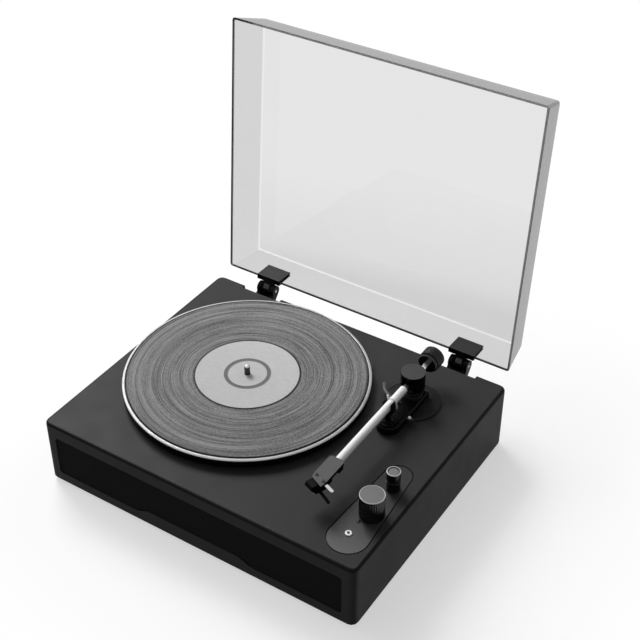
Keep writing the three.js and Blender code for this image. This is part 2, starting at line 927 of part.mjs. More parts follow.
// The case of a rotary control under the plate, with the bush that its shaft turns in.
function controlCase(name, x, y) {
  const top = deck_top - panel_thickness - fit_gap;
  const bore = control_shaft_radius + fit_gap;
  const bush = bore + speaker_sheet;
  const bush_top = deck_top + knob_clearance / 2;
  const floor = top - control_body_height + speaker_sheet;
  const profile = [
    [0, top - control_body_height],
    [control_body_radius, top - control_body_height],
    [control_body_radius, top],
    [bush, top],
    [bush, bush_top],
    [bore, bush_top],
    [bore, floor],
    [0, floor],
  ];
  const mesh = piece(name, turned(profile, small_round_steps), satin_metal());
  mesh.position.set(x, y, 0);
  return mesh;
}

const shaft_foot = deck_top - panel_thickness - control_body_height + speaker_sheet + fit_gap;

// The fluted side of the volume knob, on its shaft.
function volumeKnob() {
  const bottom = deck_top + knob_clearance;
  const top = deck_top + volume_height - volume_cap_thickness - fit_gap;
  const points = [];
  for (let i = 0; i < 2 * flute_count; i++) {
    const turn = i * Math.PI / flute_count;
    const radius = volume_radius - (i % 2) * volume_flute_depth;
    points.push(new THREE.Vector2(radius * Math.cos(turn), radius * Math.sin(turn)));
  }
  const skirt = stack([{ points, z: bottom }, { points, z: top }]);
  const shaft = rod(control_shaft_radius, shaft_foot, bottom + overrun);
  const mesh = piece("volume_knob", join(solid(skirt), solid(shaft)), gloss_black());
  mesh.position.set(volume_x, volume_y, 0);
  return mesh;
}

function volumeKnobCap() {
  const top = deck_top + volume_height;
  const bottom = top - volume_cap_thickness;
  const profile = [
    [0, bottom],
    [volume_radius, bottom],
    [volume_radius, top - volume_cap_chamfer],
    [volume_radius - volume_cap_chamfer, top],
    [0, top],
  ];
  const mesh = piece("volume_knob_cap", turned(profile, medium_round_steps), satin_metal());
  mesh.position.set(volume_x, volume_y, 0);
  return mesh;
}

// The selector knob: a slim turned sleeve with a shallow groove round its middle.
function selectorKnob() {
  const bottom = deck_top + knob_clearance;
  const top = deck_top + selector_height;
  const middle = (bottom + top) / 2;
  const inner = selector_radius - selector_ring;
  const profile = [
    [0, shaft_foot],
    [control_shaft_radius, shaft_foot],
    [control_shaft_radius, bottom],
    [selector_radius, bottom],
    [selector_radius, middle - selector_groove],
    [selector_radius - selector_groove, middle],
    [selector_radius, middle + selector_groove],
    [selector_radius, top - selector_groove],
    [selector_radius - selector_groove, top],
    [inner, top],
    [inner, top - 3 * selector_dish],
    [0, top - 3 * selector_dish],
  ];
  const mesh = piece("selector_knob", turned(profile), gloss_black());
  mesh.position.set(selector_x, selector_y, 0);
  return mesh;
}

function selectorKnobCap() {
  const top = deck_top + selector_height - selector_dish;
  const bottom = deck_top + selector_height - 3 * selector_dish + fit_gap;
  const mesh = piece("selector_knob_cap",
    rod(selector_radius - selector_ring - fit_gap, bottom, top, round_steps), grey_plate());
  mesh.position.set(selector_x, selector_y, 0);
  return mesh;
}

function headphoneJack() {
  const low = deck_top + fit_gap;
  const top = deck_top + jack_height;
  const neck = jack_radius - speaker_sheet;
  const floor = deck_top - jack_depth;
  const profile = [
    [0, floor],
    [neck, floor],
    [neck, low],
    [jack_radius, low],
    [jack_radius, top - jack_height / 2],
    [neck, top],
    [jack_bore_radius, top],
    [jack_bore_radius, floor + speaker_sheet],
    [0, floor + speaker_sheet],
  ];
  const mesh = piece("headphone_jack", turned(profile), bright_metal());
  mesh.position.set(jack_x, jack_y, 0);
  return mesh;
}

function powerLed() {
  const top = deck_top + led_height;
  const dome_share = 0.7;
  const profile = [
    [0, deck_top - led_depth],
    [led_radius, deck_top - led_depth],
    [led_radius, deck_top + led_height / 3],
    [led_radius * dome_share, top - led_height / 6],
    [0, top],
  ];
  const mesh = piece("power_led", turned(profile, small_round_steps), gloss_black());
  mesh.position.set(led_x, led_y, 0);
  return mesh;
}

// The glossy round base, with the sleeve that guides the arm's pillar through the deck.
function tonearmBase() {
  const low = deck_top + fit_gap;
  const high = deck_top + arm_base_thickness;
  const bore = pillar_radius + fit_gap;
  const sleeve = pillar_radius + pillar_sleeve_wall;
  const profile = [
    [bore, deck_top - pillar_depth],
    [sleeve, deck_top - pillar_depth],
    [sleeve, low],
    [arm_base_radius, low],
    [arm_base_radius, high - arm_base_bevel],
    [arm_base_radius - arm_base_bevel, high],
    [bore, high],
  ];
  const mesh = piece("tonearm_base", turnedRing(profile, medium_round_steps), gloss_black());
  mesh.position.set(pivot_x, pivot_y, 0);
  return mesh;
}

// Places in the arm's own plan: angle 0 points to the front, positive turns to the platter.
function armPlan(radius, degrees) {
  return [-radius * Math.sin(radians(degrees)), -radius * Math.cos(radians(degrees))];
}

function armBoard() {
  const half = arm_board_width / 2;
  const shape = new THREE.Shape();
  shape.absarc(0, -arm_board_front, half, Math.PI, 2 * Math.PI, false);
  shape.lineTo(half, arm_board_back);
  shape.lineTo(-half, arm_board_back);
  const bottom = deck_top + fit_gap;
  const height = arm_board_height - fit_gap;
  const board = solid(extrudeUp(shape, bottom, height, arm_board_edge));
  const [lug_x, lug_y] = armPlan(lift_radius, lift_post_angle);
  const lug_radius = 2 * lift_post_radius + speaker_sheet;
  const lug = solid(rod(lug_radius, bottom, deck_top + arm_board_height).translate(lug_x, lug_y, 0));
  const arm = solid(block(lug_x, 0, lug_y - lug_radius, lug_y + lug_radius,
    bottom, deck_top + arm_board_height - arm_board_edge));
  const disc = solid(rod(arm_base_radius + fit_gap, deck_top - overrun,
    deck_top + arm_base_thickness + fit_gap, medium_round_steps));
  const pillar_bore = solid(rod(pillar_radius + fit_gap, deck_top, deck_top + 2 * arm_board_height,
    round_steps));
  const lift_bore = solid(rod(lift_post_radius + fit_gap, deck_top, deck_top + 2 * arm_board_height)
    .translate(lug_x, lug_y, 0));
  const lever_bore = solid(rod(lever_axle_radius + fit_gap, -overrun, 2 * overrun)
    .rotateY(Math.PI / 2).translate(half - overrun, lever_pivot_y, deck_top + lever_pivot_height));
  const body = cut(join(board, arm, lug), disc, pillar_bore, lift_bore, lever_bore);
  const mesh = piece("arm_board", body, black_plastic());
  mesh.position.set(pivot_x, pivot_y, 0);
  return mesh;
}

// The rest: two stepped rings, a post, and a cradle with a tall outer prong and a low inner lip,
// so that the arm can leave it towards the platter.
function armRest() {
  const foot_z = deck_top + arm_board_height + fit_gap;
  const axis_z = deck_top + pivot_height - rest_distance * Math.tan(radians(arm_droop));
  const cup = tube_radius + fit_gap;
  const shelf_z = axis_z - cup;
  const inner_boss_top = foot_z + 2 * rest_boss_height;
  const post = turned([
    [0, foot_z],
    [rest_boss_radius, foot_z],
    [rest_boss_radius, foot_z + rest_boss_height],
    [rest_inner_boss_radius, foot_z + rest_boss_height],
    [rest_inner_boss_radius, inner_boss_top],
    [rest_post_radius, inner_boss_top],
    [rest_post_radius, shelf_z - rest_shelf_thickness / 2],
    [0, shelf_z - rest_shelf_thickness / 2],
  ]);
  const prong = cup + rest_prong_thickness;
  const shape = new THREE.Shape();
  shape.moveTo(-rest_shelf, shelf_z - rest_shelf_thickness / 2);
  shape.lineTo(-rest_post_radius, shelf_z - rest_shelf_thickness);
  shape.lineTo(cup, shelf_z - rest_shelf_thickness);
  shape.quadraticCurveTo(prong, shelf_z - rest_shelf_thickness / 2, prong, axis_z);
  shape.lineTo(prong - rest_prong_thickness / 2, axis_z + rest_prong_rise);
  shape.lineTo(cup, axis_z + rest_prong_rise);
  shape.lineTo(cup, axis_z);
  shape.absarc(0, axis_z, cup, 0, -Math.PI / 2, true);
  shape.lineTo(-rest_shelf, shelf_z);
  const cradle = extrudeBack(shape, -rest_width / 2, rest_width, bend_steps);
  const mesh = piece("arm_rest", join(solid(post), solid(cradle)), black_plastic());
  mesh.position.set(pivot_x - rest_distance * Math.sin(radians(arm_yaw)), pivot_y - rest_distance, 0);
  return mesh;
}

// The turning housing: a capped cylinder, open to the front and back where the arm passes.
function armHousing() {
  const top = deck_top + pivot_height + housing_above_pivot;
  const bottom = top - housing_height;
  const inner = housing_radius - housing_wall;
  const shell = rod(housing_radius, bottom, top, medium_round_steps);
  const hollow = rod(inner, bottom + housing_wall, top - housing_wall, round_steps);
  const half = housing_slot_width / 2;
  const slot_low = bottom + housing_wall;
  const slot_high = deck_top + pivot_height + housing_slot_rise;
  const slot = block(-half, half, -2 * housing_radius, 2 * housing_radius, slot_low, slot_high);
  const pin_bore = rod(pivot_pin_radius + fit_gap, -inner - housing_wall / 2, inner + housing_wall / 2)
    .rotateY(Math.PI / 2).translate(0, 0, deck_top + pivot_height);
  const body = cut(solid(shell), solid(hollow), solid(slot), solid(pin_bore));
  return piece("arm_housing", body, black_plastic());
}

function armPillar() {
  const top = deck_top + pivot_height + housing_above_pivot - housing_height - fit_gap;
  const collar = deck_top + arm_board_height + fit_gap;
  const profile = [
    [0, deck_top - pillar_depth + fit_gap],
    [pillar_radius, deck_top - pillar_depth + fit_gap],
    [pillar_radius, collar],
    [housing_radius - housing_wall, collar],
    [housing_radius - housing_wall, collar + pillar_sleeve_wall],
    [pillar_radius + pillar_sleeve_wall / 2, collar + pillar_sleeve_wall],
    [pillar_radius + pillar_sleeve_wall / 2, top],
    [0, top],
  ];
  return piece("arm_pillar", turned(profile), black_plastic());
}

// Everything below lies in the arm's own frame: the pivot is the origin and the arm runs to -Y.
function alongArm(geometry) {
  return geometry.rotateX(Math.PI / 2);
}

function pivotBlock() {
  const half = pivot_block_width / 2;
  const high = pivot_block_height / 2;
  const body = solid(block(-half, half, -half, half, -high, high));
  const reach = housing_radius - housing_wall + housing_wall / 2 - fit_gap;
  const pin = solid(rod(pivot_pin_radius, -reach, reach).rotateY(Math.PI / 2));
  const boss = solid(alongArm(rod(neck_collar_radius, half - overrun, housing_radius)));
  const tail_bore = solid(alongArm(rod(tail_radius + fit_gap, -housing_radius, -half / 2)));
  return piece("arm_pivot_block", cut(join(body, pin, boss), tail_bore), black_plastic());
}

function armTube() {
  const neck_start = housing_radius + fit_gap;
  const profile = [
    [neck_radius - tube_wall, neck_start],
    [neck_radius, neck_start],
    [neck_radius, tube_start],
    [tube_radius - fit_gap, tube_start],
    [tube_radius, tube_start + fit_gap],
    [tube_radius, tube_end],
    [tube_radius - tube_wall, tube_end],
    [tube_radius - tube_wall, tube_start + tube_wall],
    [neck_radius - tube_wall, tube_start + tube_wall],
  ];
  return piece("arm_tube", alongArm(turnedRing(profile)), white_tube());
}

function tailShaft() {
  const start = pivot_block_width / 4 + 2 * fit_gap;
  return piece("tail_shaft", alongArm(rod(tail_radius, -tail_length, -start, round_steps)), bright_metal());
}

function counterweight() {
  const bore = tail_radius + fit_gap;
  const back = -(weight_front + weight_length);
  const profile = [
    [bore, back],
    [weight_radius - weight_edge, back],
    [weight_radius, back + weight_edge],
    [weight_radius, -weight_front],
    [bore, -weight_front],
  ];
  return piece("counterweight", alongArm(turnedRing(profile, round_steps)), black_plastic());
}

function counterweightDial() {
  const bore = tail_radius + fit_gap;
  const back = fit_gap - weight_front;
  const front = back + weight_dial_length;
  const profile = [
    [bore, back],
    [weight_dial_radius, back],
    [weight_dial_radius, front - weight_edge],
    [weight_dial_radius - weight_edge, front],
    [bore, front],
  ];
  return piece("counterweight_dial", alongArm(turnedRing(profile, round_steps)), gloss_black());
}

// The plan of the headshell: straight sides, a turned nose and small shoulders at the tube.
function headshellShape(inset) {
  const half = headshell_width / 2 - inset;
  const shoulder = headshell_shoulder;
  const nose_drop = (2 * half) * Math.tan(radians(cartridge_turn));
  const nose = headshell_nose - inset;
  const nose_half = half - inset;
  const shape = new THREE.Shape();
  shape.moveTo(-half + shoulder, -headshell_start - inset);
  shape.lineTo(-half, -headshell_start - shoulder - inset);
  shape.lineTo(-half, -headshell_left_end);
  shape.lineTo(-nose_half + shoulder / 2, -nose + nose_drop);
  shape.lineTo(half - shoulder / 2, -nose);
  shape.lineTo(half, -headshell_right_end);
  shape.lineTo(half, -headshell_start - shoulder - inset);
  shape.lineTo(half - shoulder, -headshell_start - inset);
  return shape;
}

// The frame turned with the cartridge, its origin between the two mounting screws.
function inCartridgeFrame(geometry) {
  return geometry.rotateZ(-radians(cartridge_turn)).translate(0, -cartridge_distance, 0);
}

function headshell() {
  const plate_under = headshell_top - headshell_plate;
  const outer = extrudeUp(headshellShape(0), headshell_top - headshell_skirt, headshell_skirt);
  const hollow = extrudeUp(headshellShape(headshell_wall), headshell_top - 2 * headshell_skirt,
    2 * headshell_skirt - headshell_plate);
  const collar_end = tube_end + 2 * headshell_wall;
  const collar_half = (headshell_width - headshell_wall) / 2;
  const collar = block(-collar_half, collar_half, -collar_end, -headshell_start - headshell_shoulder,
    -tube_radius, plate_under + headshell_plate / 2);
  const bore = alongArm(rod(tube_radius + fit_gap, headshell_start - overrun, tube_end + fit_gap,
    round_steps));
  const relief_half = cartridge_width / 2 - headshell_wall;
  const relief = inCartridgeFrame(block(-relief_half, relief_half, -cartridge_lead - headshell_skirt,
    cartridge_length - cartridge_lead + fit_gap, -overrun, plate_under));
  const slot_shape = (half, length) => roundedShape(-half, half, -length / 2, length / 2, half / 2);
  const slots = [];
  for (const side of [-1, 1]) {
    const slot = extrudeUp(slot_shape(screw_radius + fit_gap, 3 * screw_radius), -overrun,
      headshell_top + 2 * overrun);
    slots.push(solid(inCartridgeFrame(slot.translate(side * screw_spacing / 2, 0, 0))));
  }
  const shell = join(cut(solid(outer), solid(hollow)), solid(collar));
  return piece("headshell", cut(shell, solid(bore), solid(relief), ...slots), black_plastic());
}

// The small lever on the cartridge's front: a drooping blade with a round end.
function cartridgeLever(start, top) {
  const end = start + lever_blade_length - lever_blade_height / 2;
  const end_z = top - lever_blade_height / 2 - lever_blade_drop;
  const shape = new THREE.Shape();
  shape.absarc(end, end_z, lever_blade_height / 2, -Math.PI / 2, Math.PI / 2, false);
  shape.quadraticCurveTo((start + end) / 2, top, start, top);
  shape.lineTo(start, top - lever_blade_height);
  shape.quadraticCurveTo((start + end) / 2, top - lever_blade_height, end, end_z - lever_blade_height / 2);
  return extrudeBack(shape, -lever_blade_forward - lever_blade_thickness / 2, lever_blade_thickness,
    bend_steps);
}

// The cartridge hangs under the plate: its side view is a box with a sloping front and heel.
function cartridge() {
  const top = headshell_top - headshell_plate - fit_gap;
  const bottom = top - cartridge_height;
  const front = -cartridge_lead;
  const back = front + cartridge_length;
  const heel_share = 0.35;
  const chin_share = 0.4;
  const half = cartridge_width / 2 - headshell_wall - fit_gap;
  const shape = new THREE.Shape();
  shape.moveTo(front, top);
  shape.lineTo(front - headshell_wall, top - cartridge_height * heel_share);
  shape.lineTo(front + cartridge_length * chin_share / 2, bottom);
  shape.lineTo(back - cartridge_length * heel_share, bottom);
  shape.lineTo(back, top - cartridge_height * chin_share);
  shape.lineTo(back, top);
  const body = solid(inCartridgeFrame(extrudeRight(shape, -half, 2 * half)));
  const holes = [];
  for (const side of [-1, 1]) {
    const hole = rod(screw_radius + fit_gap, top - screw_hold, top + overrun);
    holes.push(solid(inCartridgeFrame(hole.translate(side * screw_spacing / 2, 0, 0))));
  }
  const lever = solid(inCartridgeFrame(cartridgeLever(half / 2, bottom + cartridge_height / 2)));
  return piece("cartridge", cut(join(body, lever), ...holes), gloss_black());
}

const screw_hold = 5;

function headshellScrew(name, side) {
  const head_low = headshell_top + fit_gap;
  const end = headshell_top - headshell_plate - screw_hold + fit_gap;
  const profile = [
    [0, end],
    [screw_radius, end],
    [screw_radius, head_low],
    [screw_head_radius, head_low],
    [screw_head_radius, head_low + screw_head_height],
    [0, head_low + screw_head_height],
  ];
  const screw = turned(profile, small_round_steps).translate(side * screw_spacing / 2, 0, 0);
  return piece(name, inCartridgeFrame(screw), bright_metal());
}

// The stylus: a slim cantilever under a small holder, down to its tip.
function stylus() {
  const top = headshell_top - headshell_plate - 2 * fit_gap - cartridge_height;
  const tip = -stylus_drop;
  const holder = top - (top - tip) / 3;
  const neck_share = 0.35;
  const half = cartridge_width / 5;
  const body = turned([
    [0, tip],
    [half * neck_share / 2, tip + (top - tip) / 4],
    [half * neck_share, holder],
    [half, holder],
    [half, top],
    [0, top],
  ], small_round_steps);
  const back = cartridge_setback - stylus_setback;
  return piece("stylus", inCartridgeFrame(body.translate(0, -back, 0)), satin_metal());
}

// The finger lift: a flat tongue with a round end beside the headshell.
function fingerLift() {
  const top = headshell_top - headshell_plate;
  const half = finger_width / 2;
  const turn = radians(cartridge_turn);
  const start = (headshell_width / 2 + fit_gap + half * Math.sin(turn)) / Math.cos(turn);
  const tongue_shape = new THREE.Shape();
  tongue_shape.absarc(start + finger_length - half, 0, half, -Math.PI / 2, Math.PI / 2, false);
  tongue_shape.lineTo(start, half);
  tongue_shape.lineTo(start, -half);
  const tongue = extrudeUp(tongue_shape, top - finger_thickness, finger_thickness);
  return piece("finger_lift", inCartridgeFrame(tongue), bright_metal());
}

function tonearmGroup() {
  const tilt = new THREE.Group();
  tilt.position.z = deck_top + pivot_height;
  tilt.rotation.x = radians(arm_droop);
  tilt.add(pivotBlock(), armTube(), tailShaft(), headshell(), cartridge(), stylus(), fingerLift(),
    headshellScrew("headshell_screw_left", -1), headshellScrew("headshell_screw_right", 1),
    counterweight(), counterweightDial());
  const swing = new THREE.Group();
  swing.position.set(pivot_x, pivot_y, 0);
  swing.rotation.z = -radians(arm_yaw);
  swing.add(armHousing(), armPillar(), tilt);
  return swing;
}

// The curved bar that lifts the arm, on its round post.
function cueLiftBar() {
  const half = lift_bar_width / 2;
  const front = -Math.PI / 2;
  const from = front - radians(lift_start_angle);
  const to = front - radians(lift_end_angle);
  const shape = new THREE.Shape();
  shape.absarc(0, 0, lift_radius + half, from, to, true);
  shape.absarc(0, 0, lift_radius - half, to, from, false);
  const low = deck_top + lift_bar_top - lift_bar_thickness;
  const bar = solid(extrudeUp(shape, low, lift_bar_thickness, 0, arc_steps));
  const [x, y] = armPlan(lift_radius, lift_post_angle);
  const post = solid(rod(lift_post_radius, low - lift_post_drop, low + lift_bar_thickness / 2)
    .translate(x, y, 0));
  const mesh = piece("cue_lift_bar", join(bar, post), satin_metal());
  mesh.position.set(pivot_x, pivot_y, 0);
  return mesh;
}

// The cueing lever: an axle in the board's side, an arm and a bright ball.
function cueLever() {
  const half = arm_board_width / 2;
  const axle_z = deck_top + lever_pivot_height;
  const axle = solid(rod(lever_axle_radius, -overrun + fit_gap, lever_reach).rotateY(Math.PI / 2)
    .translate(half, lever_pivot_y, axle_z));
  const reach_y = -lever_reach;
  const length = Math.hypot(reach_y, lever_rise);
  const lean = Math.atan2(-reach_y, lever_rise);
  const x = half + lever_reach - lever_arm_radius;
  const arm = solid(rod(lever_arm_radius, 0, length).rotateX(lean).translate(x, lever_pivot_y, axle_z));
  const hub = solid(rod(lever_axle_radius + lever_thickness / 2, -lever_thickness / 2, lever_thickness / 2)
    .rotateY(Math.PI / 2).translate(x, lever_pivot_y, axle_z));
  const ball = solid(new THREE.SphereGeometry(lever_ball_radius, small_round_steps, small_round_steps / 2)
    .translate(x, lever_pivot_y + reach_y, axle_z + lever_rise));
  const mesh = piece("cue_lever", join(axle, arm, hub, ball), black_plastic());
  mesh.position.set(pivot_x, pivot_y, 0);
  return mesh;
}

// The dust cover in its closed place, in a frame with the hinge pins' axis as its X axis.
const rim_y = cover_rear_edge - hinge_pin_y;
const rim_z = cover_lift + hinge_pin_drop;

function coverRing(inset, share, radius) {
  const half = cover_width / 2 - cover_side_taper * share - inset;
  const back = rim_y - cover_rear_taper * share - inset;
  const front = rim_y - cover_depth + cover_front_taper * share + inset;
  return roundedPoints(-half, half, front, back, radius);
}

function dustCover() {
  const round = cover_top_radius;
  const wall = cover_thickness;
  const rings = [{ points: coverRing(0, 0, cover_corner_radius), z: rim_z }];
  for (let i = 0; i <= 2; i++) {
    const turn = i * Math.PI / 4;
    rings.push({
      points: coverRing(round * (1 - Math.cos(turn)), 1, cover_corner_radius),
      z: rim_z + cover_height - round * (1 - Math.sin(turn)),
    });
  }
  const inner_corner = Math.max(cover_corner_radius - wall, cover_corner_radius / 4);
  const mouth_share = -overrun / (cover_height - wall);
  const hollow = stack([
    { points: coverRing(wall, mouth_share, inner_corner), z: rim_z - overrun },
    { points: coverRing(wall, 1, inner_corner), z: rim_z + cover_height - wall },
  ]);
  return piece("dust_cover", cut(solid(stack(rings)), solid(hollow)), clear_acrylic());
}

// The clip that holds the rear skirt, in the same frame: two walls, a web under the rim,
// and a barrel on the pin between the bracket's ears.
function hingeClip(name, side) {
  const half = clip_width / 2;
  const outer = rim_y + fit_gap;
  const inner = rim_y - cover_thickness - fit_gap;
  const lean = Math.atan2(cover_rear_taper, cover_height);
  const web_top = rim_z - fit_gap;
  const web_low = web_top - clip_web;
  const shift = clip_height * Math.tan(lean);
  const shape = new THREE.Shape();
  shape.moveTo(outer + clip_wall, web_low);
  shape.lineTo(outer + clip_wall, web_top + clip_web);
  shape.lineTo(outer + clip_wall - shift, web_top + clip_height);
  shape.lineTo(outer - shift, web_top + clip_height);
  shape.lineTo(outer, web_top);
  shape.lineTo(inner, web_top);
  shape.lineTo(inner - shift, web_top + clip_height);
  shape.lineTo(inner - clip_inner_wall - shift, web_top + clip_height);
  shape.lineTo(inner - clip_inner_wall, web_low);
  const channel = solid(extrudeRight(shape, -half, clip_width));
  const neck_half = hinge_ear_gap / 2 - fit_gap;
  const neck = new THREE.Shape();
  neck.moveTo(rim_y - cover_thickness, web_low);
  neck.lineTo(0, -barrel_radius);
  neck.absarc(0, 0, barrel_radius, -Math.PI / 2, Math.PI / 2, false);
  neck.lineTo(rim_y + clip_wall, barrel_radius);
  neck.lineTo(outer + clip_wall / 2, web_top);
  const barrel = solid(extrudeRight(neck, -neck_half, 2 * neck_half));
  const bore = solid(rod(hinge_pin_radius + fit_gap, -half, half).rotateY(Math.PI / 2));
  const mesh = piece(name, cut(join(channel, barrel), bore), black_plastic());
  mesh.position.x = side * hinge_spacing / 2;
  return mesh;
}

function coverGroup() {
  const group = new THREE.Group();
  group.position.set(0, hinge_pin_y, hinge_pin_z);
  group.rotation.x = -radians(cover_open_angle);
  group.add(dustCover(), hingeClip("hinge_clip_left", -1), hingeClip("hinge_clip_right", 1));
  return group;
}

// The bracket: a plate on the cabinet's back, two ears that hold the pin and a web between them.
function hingeBracket(name, side) {
  const plate_y = back_face - hinge_notch_depth + fit_gap;
  const plate_top = hinge_pin_z - hinge_plate_drop;
  const plate_low = plate_top - hinge_plate_height;
  const half = hinge_plate_width / 2;
  const plate = solid(block(-half, half, plate_y, plate_y + hinge_plate_thickness, plate_low, plate_top));
  const ear = new THREE.Shape();
  ear.moveTo(plate_y + hinge_plate_thickness / 2, plate_low + hinge_plate_thickness);
  ear.lineTo(hinge_pin_y + hinge_ear_radius / 2, hinge_pin_z - hinge_ear_radius);
  ear.absarc(hinge_pin_y, hinge_pin_z, hinge_ear_radius, -Math.PI / 4, 1.15 * Math.PI, false);
  ear.lineTo(plate_y + hinge_plate_thickness / 2, plate_top);
  const inner = hinge_ear_gap / 2;
  const right = solid(extrudeRight(ear, inner, hinge_ear_thickness));
  const left = solid(extrudeRight(ear, -inner - hinge_ear_thickness, hinge_ear_thickness));
  const reach = inner + hinge_ear_thickness;
  const web_top = hinge_pin_z - barrel_radius - hinge_web_clearance;
  const web_half = inner + hinge_ear_thickness / 2;
  const web = solid(block(-web_half, web_half, plate_y + hinge_plate_thickness / 2, hinge_pin_y,
    web_top - hinge_web_thickness, web_top));
  const bore = solid(rod(hinge_pin_radius + fit_gap, -reach - overrun, reach + overrun)
    .rotateY(Math.PI / 2).translate(0, hinge_pin_y, hinge_pin_z));
  const mesh = piece(name, cut(join(plate, right, left, web), bore), black_plastic());
  mesh.position.x = side * hinge_spacing / 2;
  return mesh;
}

function hingePin(name, side) {
  const reach = hinge_ear_gap / 2 + hinge_ear_thickness;
  const mesh = piece(name, rod(hinge_pin_radius, -reach, reach).rotateY(Math.PI / 2), satin_metal());
  mesh.position.set(side * hinge_spacing / 2, hinge_pin_y, hinge_pin_z);
  return mesh;
}

function backPanel() {
  const half_x = back_panel_width / 2;
  const half_z = back_panel_height / 2;
  const plate = solid(block(-half_x, half_x, -back_panel_thickness, 0, -half_z, half_z));
  const hole = (x, radius) => solid(rod(radius, -overrun, 2 * overrun, small_round_steps)
    .rotateX(Math.PI / 2).translate(x, 0, 0));
  const body = cut(plate, hole(-socket_spacing / 2, socket_radius + fit_gap),
    hole(socket_spacing / 2, socket_radius + fit_gap), hole(inlet_offset, inlet_radius + fit_gap));
  const mesh = piece("back_panel", body, black_plastic());
  mesh.position.set(back_panel_x, back_face, back_panel_z);
  return mesh;
}

// A phono socket: a round shell with a bore, a nut against the panel and a tail inside.
function phonoSocket(name, side) {
  const bore = socket_radius / 2;
  const profile = [
    [0, -2 * socket_length],
    [socket_radius, -2 * socket_length],
    [socket_radius, fit_gap],
    [socket_nut_radius, fit_gap],
    [socket_nut_radius, fit_gap + back_panel_thickness],
    [socket_radius, fit_gap + back_panel_thickness],
    [socket_radius, socket_length],
    [bore, socket_length],
    [bore, -socket_length],
    [0, -socket_length],
  ];
  const mesh = piece(name, turned(profile, small_round_steps), bright_metal());
  mesh.rotation.x = -Math.PI / 2;
  mesh.position.set(back_panel_x + side * socket_spacing / 2, back_face, back_panel_z);
  return mesh;
}

function powerInlet() {
  const profile = [
    [0, -inlet_depth - back_panel_thickness],
    [inlet_radius, -inlet_depth - back_panel_thickness],
    [inlet_radius, 0],
    [inlet_bore_radius, 0],
    [inlet_bore_radius, -inlet_depth],
    [0, -inlet_depth],
  ];
  const mesh = piece("power_inlet", turned(profile, small_round_steps), black_plastic());
  mesh.rotation.x = -Math.PI / 2;
  mesh.position.set(back_panel_x + inlet_offset, back_face, back_panel_z);
  return mesh;
}

const turntable = new THREE.Group();
turntable.add(
  plinthCabinet(),
  bottomBoard(),
  foot("foot_front_left", -1, -1),
  foot("foot_front_right", 1, -1),
  foot("foot_rear_left", -1, 1),
  foot("foot_rear_right", 1, 1),
  grilleCloth(),
  speakerFrame("speaker_frame_left", -1),
  speakerFrame("speaker_frame_right", 1),
  speakerCone("speaker_cone_left", -1),
  speakerCone("speaker_cone_right", 1),
  amplifierBoard(),
  driveMotor(),
  motorPulley(),
  driveBelt(),
  spindleBearing(),
  platterGroup(),
  controlPanel(),
  controlCase("volume_control_case", volume_x, volume_y),
  controlCase("selector_switch_case", selector_x, selector_y),
  volumeKnob(),
  volumeKnobCap(),
  selectorKnob(),
  selectorKnobCap(),
  headphoneJack(),
  powerLed(),
  tonearmBase(),
  armBoard(),
  armRest(),
  tonearmGroup(),
  cueLiftBar(),
  cueLever(),
  coverGroup(),
  hingeBracket("hinge_bracket_left", -1),
  hingeBracket("hinge_bracket_right", 1),
  hingePin("hinge_pin_left", -1),
  hingePin("hinge_pin_right", 1),
  backPanel(),
  phonoSocket("phono_socket_left", -1),
  phonoSocket("phono_socket_right", 1),
  powerInlet(),
);

// The middle of the bounding box's bottom becomes the origin.
const bounds = new THREE.Box3().setFromObject(turntable, true);
const middle = bounds.getCenter(new THREE.Vector3());
turntable.position.set(-middle.x, -middle.y, -bounds.min.z);

export default turntable;
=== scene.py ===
# %% [markdown]
# A record player with an open dust cover, dressed over a measured frame.
# The frame comes from CAD: every part has its place and size there, and each part that moves has
# its joint. Blender adds what CAD leaves out: true round surfaces, eased edges, fine detail and
# the finishes. Each piece below is first described as a real thing, then built.

import bmesh
import bpy
import json
import math
import numpy as np
from mathutils import Matrix, Vector


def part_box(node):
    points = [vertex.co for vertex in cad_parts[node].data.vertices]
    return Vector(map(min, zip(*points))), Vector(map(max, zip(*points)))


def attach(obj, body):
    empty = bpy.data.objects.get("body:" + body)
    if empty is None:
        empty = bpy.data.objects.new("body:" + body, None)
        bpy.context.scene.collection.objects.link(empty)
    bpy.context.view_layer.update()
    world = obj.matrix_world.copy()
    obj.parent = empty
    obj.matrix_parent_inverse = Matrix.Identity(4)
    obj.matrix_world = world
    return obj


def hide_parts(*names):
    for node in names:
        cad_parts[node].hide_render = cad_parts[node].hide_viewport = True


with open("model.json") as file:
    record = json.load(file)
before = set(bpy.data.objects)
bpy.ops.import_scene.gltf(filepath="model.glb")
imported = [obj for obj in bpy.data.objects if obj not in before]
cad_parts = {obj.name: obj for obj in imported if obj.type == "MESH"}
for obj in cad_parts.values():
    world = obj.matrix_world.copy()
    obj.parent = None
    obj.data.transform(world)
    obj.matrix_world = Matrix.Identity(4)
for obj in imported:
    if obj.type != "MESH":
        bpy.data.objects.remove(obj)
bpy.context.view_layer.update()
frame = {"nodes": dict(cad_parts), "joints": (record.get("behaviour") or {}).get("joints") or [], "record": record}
mm = 0.001
record = frame["record"]
joint = {each["name"]: each for each in frame["joints"]}
body_of = {node: body for body, nodes in record["behaviour"]["bodies"].items() for node in nodes}

# %% [markdown]
# The camera stands at the right front, above the record player, and looks down on it. Its place,
# turn and lens were worked out from the corners of the cabinet and the round platter in the
# photograph. Its three directions and its place are the columns of its matrix.

# %% Camera
def unit(vector):
    """The same direction with a length of one."""
    return np.asarray(vector, float) / np.linalg.norm(vector)


def add_object(name, data):
    """A new object with its mesh, lamp or camera, linked into the scene."""
    made = bpy.data.objects.new(name, data)
    bpy.context.scene.collection.objects.link(made)
    return made


